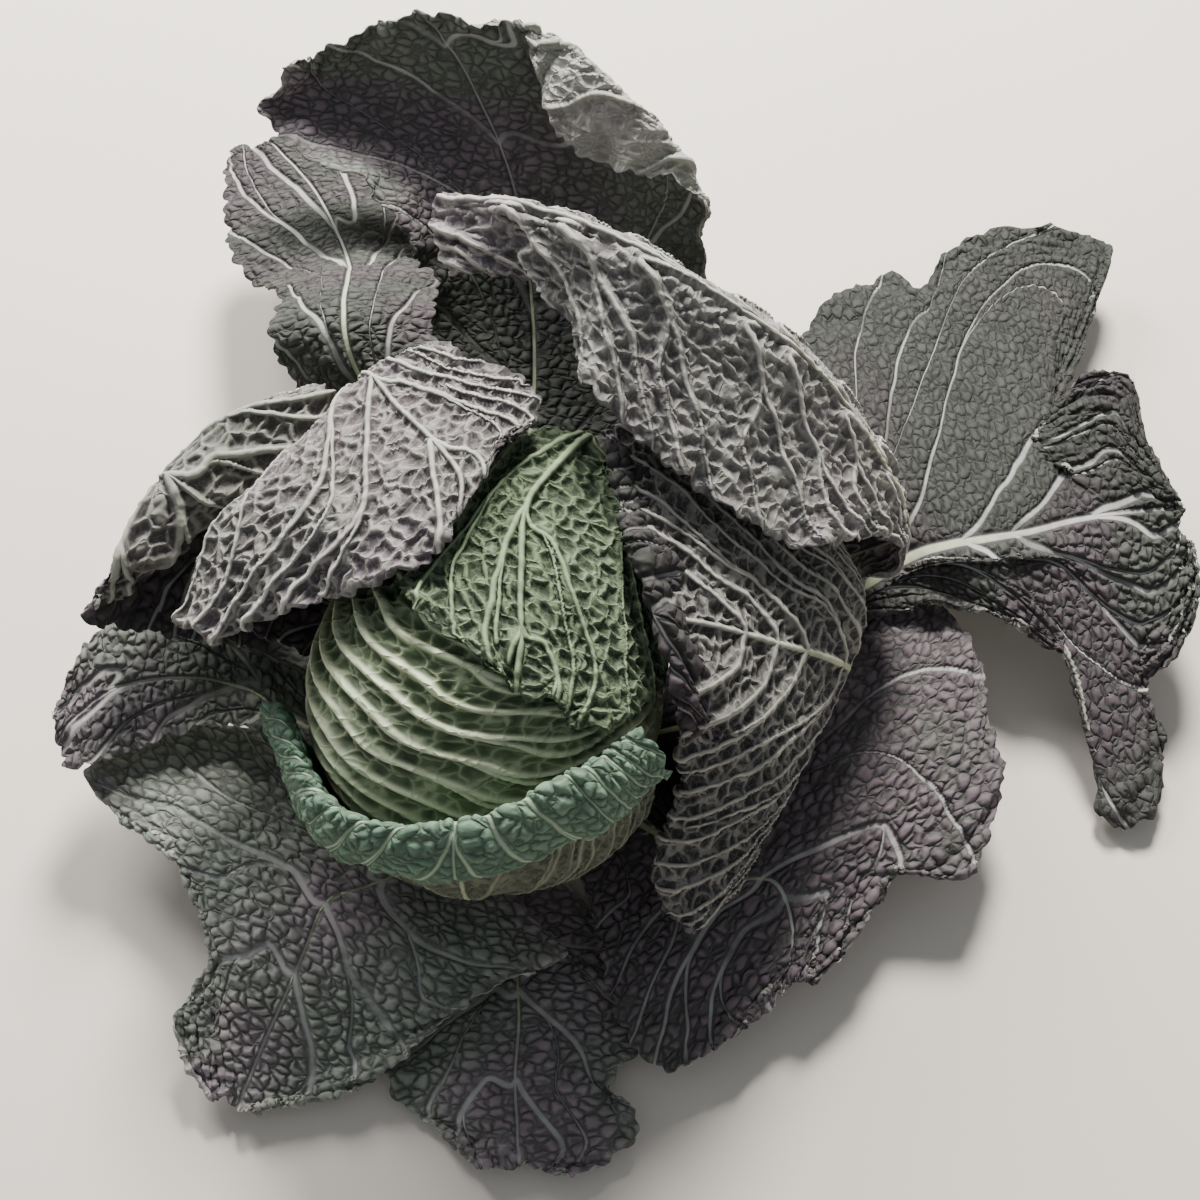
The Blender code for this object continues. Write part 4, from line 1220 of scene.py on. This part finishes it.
def head_material():
    """Head finish: pale ribs, green flesh and the net between them, with painted shade deep in the
    net's sunken cells.
    """
    look, tree, shader = new_material("head_ribs")
    rest = shader_value(tree, "rest", 3)
    spot = new_node(tree, "ShaderNodeTexCoord").outputs["Object"]
    value = {part: shader_value(tree, part) for part in VEIN_VALUES}
    value["rest"] = rest
    vein = vein_distance(tree, value, HEAD_RIB_WIDEN)
    rib = range_node(tree, vein, 0.4, 1.3, 1.0, 0.0)
    walls = net_distance(tree, rest, HEAD_CELL * MM, NET_WARP, NET_SEED)
    net = range_node(tree, walls, 0.02, 0.13, 1.0, 0.0)
    mottle = noise_value(tree, spot, 150.0, 3.0)
    green = tuple(colours().head_green)
    pale = tuple(colours().head_rib)
    patch = range_node(tree, noise_value(tree, spot, 16.0), 0.4, 0.62)
    flesh = mix_colour(tree, patch, green, scaled(green, 0.72))
    # Painted shade: darker towards the middle of each sunken cell, away from its walls.
    flesh = mix_colour(tree, range_node(tree, walls, 0.08, 0.36, 0.0, 0.70), flesh,
                       scaled(green, 0.22))
    flesh = mix_colour(tree, times(tree, net, 0.40), flesh, pale)
    flesh = mix_colour(tree, times(tree, rib, 0.92), flesh, pale)
    flesh = mix_colour(tree, range_node(tree, mottle, 0.35, 0.7, 0.0, 0.15), flesh,
                       (0.0, 0.0, 0.0))
    tree.links.new(flesh, shader.inputs["Base Color"])
    rough_mottle(tree, shader, mottle, 0.54)
    grain = math_node(tree, "SUBTRACT", times(tree, noise_value(tree, spot, 380.0), 0.5),
                      times(tree, dome_value(tree, walls, 0.3), 0.9))
    bump_shader(tree, shader, grain, HEAD_BUMP_STRENGTH, HEAD_BUMP_DEPTH)
    return look


def patched_material(name, tone, share, scale, detail, limits, roughness):
    """Plain matt finish with soft patches of a second, darker tone."""
    look, tree, shader = new_material(name)
    place = new_node(tree, "ShaderNodeTexCoord").outputs["Object"]
    patch = range_node(tree, noise_value(tree, place, scale, detail), *limits)
    tree.links.new(mix_colour(tree, patch, tone, scaled(tone, share)),
                   shader.inputs["Base Color"])
    shader.inputs["Roughness"].default_value = roughness
    return look


def stump_material():
    return patched_material("stump_cut", tuple(colours().stalk), 0.7, 60.0, 4.0,
                            (0.35, 0.65), 0.65)


def floor_material():
    return patched_material("pale_floor", tuple(colours().floor), 0.97, 3.0, 2.0,
                            (0.3, 0.7), 0.7)


# Head and stump

def head_frame():
    """Unit vectors of the head: the pole of its ribs, the left and the front."""
    axis = np.array(HEAD_AXIS) / np.linalg.norm(HEAD_AXIS)
    left = np.cross(axis, (0.0, 1.0, 0.0))
    left /= np.linalg.norm(left)
    return axis, left, np.cross(axis, left)


def head_surface():
    """Grid around the head in millimetres and the values that its ribs and net are read from."""
    rings, sectors = (int(n * grid_detail()) for n in HEAD_GRID)
    axis, left, front = head_frame()
    radius = sizes().head_radius / MM
    polar = np.linspace(HEAD_POLE, math.pi - HEAD_POLE, rings)[:, None] * np.ones((1, sectors))
    turn = np.arange(sectors) / sectors * 2 * math.pi * np.ones((rings, 1))
    from_left = np.minimum(turn, 2 * math.pi - turn)
    direction = ((np.sin(polar) * np.cos(turn))[:, :, None] * left
                 + (np.sin(polar) * np.sin(turn))[:, :, None] * front
                 + np.cos(polar)[:, :, None] * axis)
    grid = np.array(HEAD_CENTRE) + direction * radius
    wobble = 2.2 * np.sin(from_left * 2.2 + 0.5) + 0.8 * np.sin(from_left * 7 + polar * 8)
    lane = (np.degrees(polar) + wobble) / HEAD_RIB_PITCH
    along = from_left * np.sin(polar) * radius / HEAD_NET_STRETCH
    values = {
        "lane": lane,
        "pitch": np.full_like(lane, math.radians(HEAD_RIB_PITCH) * radius),
        "out": from_left / math.pi,
        "rib": np.full_like(lane, HEAD_NO_MIDRIB),
        "station": np.ones_like(lane),
        "calm": np.ones_like(lane),
        "rest": np.stack([polar * radius, along, turn * 0], 2) * MM,
    }
    return grid, values


def head_piece():
    """Ribbed head: a closed ball of rings, crinkled by the net and cut flat at its bottom."""
    grid, values = head_surface()
    rings, sectors = grid.shape[:2]
    index = np.arange(rings * sectors).reshape(rings, sectors)
    following = np.roll(index, -1, axis=1)
    quads = np.stack([index[:-1], index[1:], following[1:], following[:-1]], -1).reshape(-1, 4)
    mesh = bpy.data.meshes.new("head_sheet")
    caps = [index[0].tolist(), index[-1][::-1].tolist()]
    mesh.from_pydata((grid.reshape(-1, 3) * MM).tolist(), [], quads.tolist() + caps)
    mesh.shade_smooth()
    store_point_values(mesh, values)
    mesh = crinkled(placed("head_sheet", mesh), {
        "Cell size": HEAD_CELL * MM,
        "Blister height": HEAD_LIFT * MM,
        "Vein groove": -sizes().head_rib,
        "Fold height": HEAD_FOLD * MM,
        "Material": head_material(),
    })
    spot = read_points(mesh, "position", 3)
    spot[:, 2] = np.maximum(spot[:, 2], HEAD_BOTTOM * MM)
    mesh.vertices.foreach_set("co", spot.ravel())
    mesh.update()
    hand_over(placed("head_ball", mesh), "head")


def stump_points():
    """Rings of the stump's profile, slightly waved and rough above the cut, then its poles."""
    chance = random.Random(STUMP_SEED)
    points = []
    for radius, height in STUMP_PROFILE[1:-1]:
        side = height > STUMP_SMOOTH_BELOW
        for k in range(STUMP_SECTORS):
            angle = 2 * math.pi * k / STUMP_SECTORS
            waved = radius * (1 + STUMP_WAVE * (math.sin(STUMP_WAVES * angle) - 1) * side)
            points.append((waved * math.cos(angle), waved * math.sin(angle),
                           height + chance.uniform(0, STUMP_ROUGH) * side))
    points.append((0, 0, STUMP_PROFILE[0][1]))
    points.append((0, 0, STUMP_PROFILE[-1][1]))
    return points


def stump_piece():
    """Cut stalk under the head, closed at its cut face and at its top."""
    points = stump_points()
    faces = []
    last_ring = len(points) - 2 - STUMP_SECTORS
    for k in range(STUMP_SECTORS):
        following = (k + 1) % STUMP_SECTORS
        for ring in range(0, last_ring, STUMP_SECTORS):
            a = ring + k
            b = ring + following
            faces.append((a, b, b + STUMP_SECTORS, a + STUMP_SECTORS))
        faces.append((len(points) - 2, following, k))
        faces.append((len(points) - 1, last_ring + k, last_ring + following))
    mesh = bpy.data.meshes.new("stump_stalk")
    mesh.from_pydata([tuple(c * MM for c in point) for point in points], [], faces)
    mesh.shade_smooth()
    mesh.materials.append(stump_material())
    hand_over(placed("stump_stalk", mesh), "stump")


# Operators

class CabbageOuterLeaves(bpy.types.Operator):
    """Build the loose leaves that lie and stand around the head"""
    bl_idname = "cabbage.outer_leaves"
    bl_label = "Outer leaves"

    def execute(self, context):
        for seed, name in enumerate(OUTER_LEAVES, OUTER_SEED):
            build_leaf(name, seed)
        return {"FINISHED"}


class CabbageWrapperLeaves(bpy.types.Operator):
    """Build the leaves that wrap, arch over and collar the head"""
    bl_idname = "cabbage.wrapper_leaves"
    bl_label = "Wrapper leaves"

    def execute(self, context):
        for seed, name in enumerate(WRAPPER_LEAVES, WRAPPER_SEED):
            build_leaf(name, seed)
        return {"FINISHED"}


class CabbageHead(bpy.types.Operator):
    """Build the round ribbed head"""
    bl_idname = "cabbage.head"
    bl_label = "Head"

    def execute(self, context):
        head_piece()
        return {"FINISHED"}


class CabbageStump(bpy.types.Operator):
    """Build the cut stump"""
    bl_idname = "cabbage.stump"
    bl_label = "Stump"

    def execute(self, context):
        stump_piece()
        return {"FINISHED"}


def area_light(name, place, size, power, colour):
    """Round lamp at a place, turned towards the cabbage."""
    data = bpy.data.lights.new(name, "AREA")
    data.shape = "DISK"
    data.size = size
    data.energy = power
    data.color = colour
    item = placed(name, data)
    item.location = place
    way = Vector(AIM) - Vector(place)
    item.rotation_euler = way.to_track_quat("-Z", "Y").to_euler()


def floor_piece():
    """Pale floor, just below the cut face."""
    half = FLOOR_HALF
    mesh = bpy.data.meshes.new("floor")
    mesh.from_pydata([(-half, -half, 0), (half, -half, 0), (half, half, 0), (-half, half, 0)],
                     [], [(0, 1, 2, 3)])
    mesh.materials.append(floor_material())
    floor = placed("floor", mesh)
    floor.location = (0, 0, -FLOOR_DROP)


def camera_piece():
    """Camera at the photograph's angle."""
    data = bpy.data.cameras.new("camera")
    data.sensor_width = SENSOR
    data.lens = SENSOR / 2 / math.tan(math.radians(CAMERA_HALF_VIEW))
    camera = placed("camera", data)
    camera.location = CAMERA_PLACE
    camera.rotation_euler = (math.radians(CAMERA_TILT), 0.0, 0.0)
    return camera


class CabbageStage(bpy.types.Operator):
    """Set up the floor, the lights and the camera"""
    bl_idname = "cabbage.stage"
    bl_label = "Stage"

    def execute(self, context):
        floor_piece()
        for light in LIGHTS:
            area_light(*light)
        world = bpy.data.worlds.new("soft_room")
        world.use_nodes = True
        room = world.node_tree.nodes["Background"]
        room.inputs["Color"].default_value = ROOM_COLOUR
        room.inputs["Strength"].default_value = ROOM_STRENGTH
        context.scene.world = world
        context.scene.camera = camera_piece()
        return {"FINISHED"}


class CabbagePanel(bpy.types.Panel):
    """Lists the steps that build the cabbage"""
    bl_idname = "VIEW3D_PT_savoy_cabbage"
    bl_label = "Savoy Cabbage"
    bl_space_type = "VIEW_3D"
    bl_region_type = "UI"
    bl_category = "Savoy Cabbage"

    def draw(self, context):
        layout = self.layout
        for group in (context.scene.cabbage_sizes, context.scene.cabbage_colours):
            for key in group.bl_rna.properties.keys():
                if key not in {"rna_type", "name"}:
                    layout.prop(group, key)
        for step in STEPS:
            layout.operator(step.bl_idname)


STEPS = (CabbageStump, CabbageHead, CabbageOuterLeaves, CabbageWrapperLeaves, CabbageStage)
CLASSES = (CabbageSizes, CabbageColours, *STEPS, CabbagePanel)


def register():
    for item in CLASSES:
        bpy.utils.register_class(item)
    bpy.types.Scene.cabbage_sizes = bpy.props.PointerProperty(type=CabbageSizes)
    bpy.types.Scene.cabbage_colours = bpy.props.PointerProperty(type=CabbageColours)


def unregister():
    del bpy.types.Scene.cabbage_colours
    del bpy.types.Scene.cabbage_sizes
    for item in reversed(CLASSES):
        bpy.utils.unregister_class(item)


def main():
    register()
    bpy.ops.cabbage.stump()
    bpy.ops.cabbage.head()
    bpy.ops.cabbage.outer_leaves()
    bpy.ops.cabbage.wrapper_leaves()
    bpy.ops.cabbage.stage()
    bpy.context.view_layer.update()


if __name__ == "__main__":
    main()
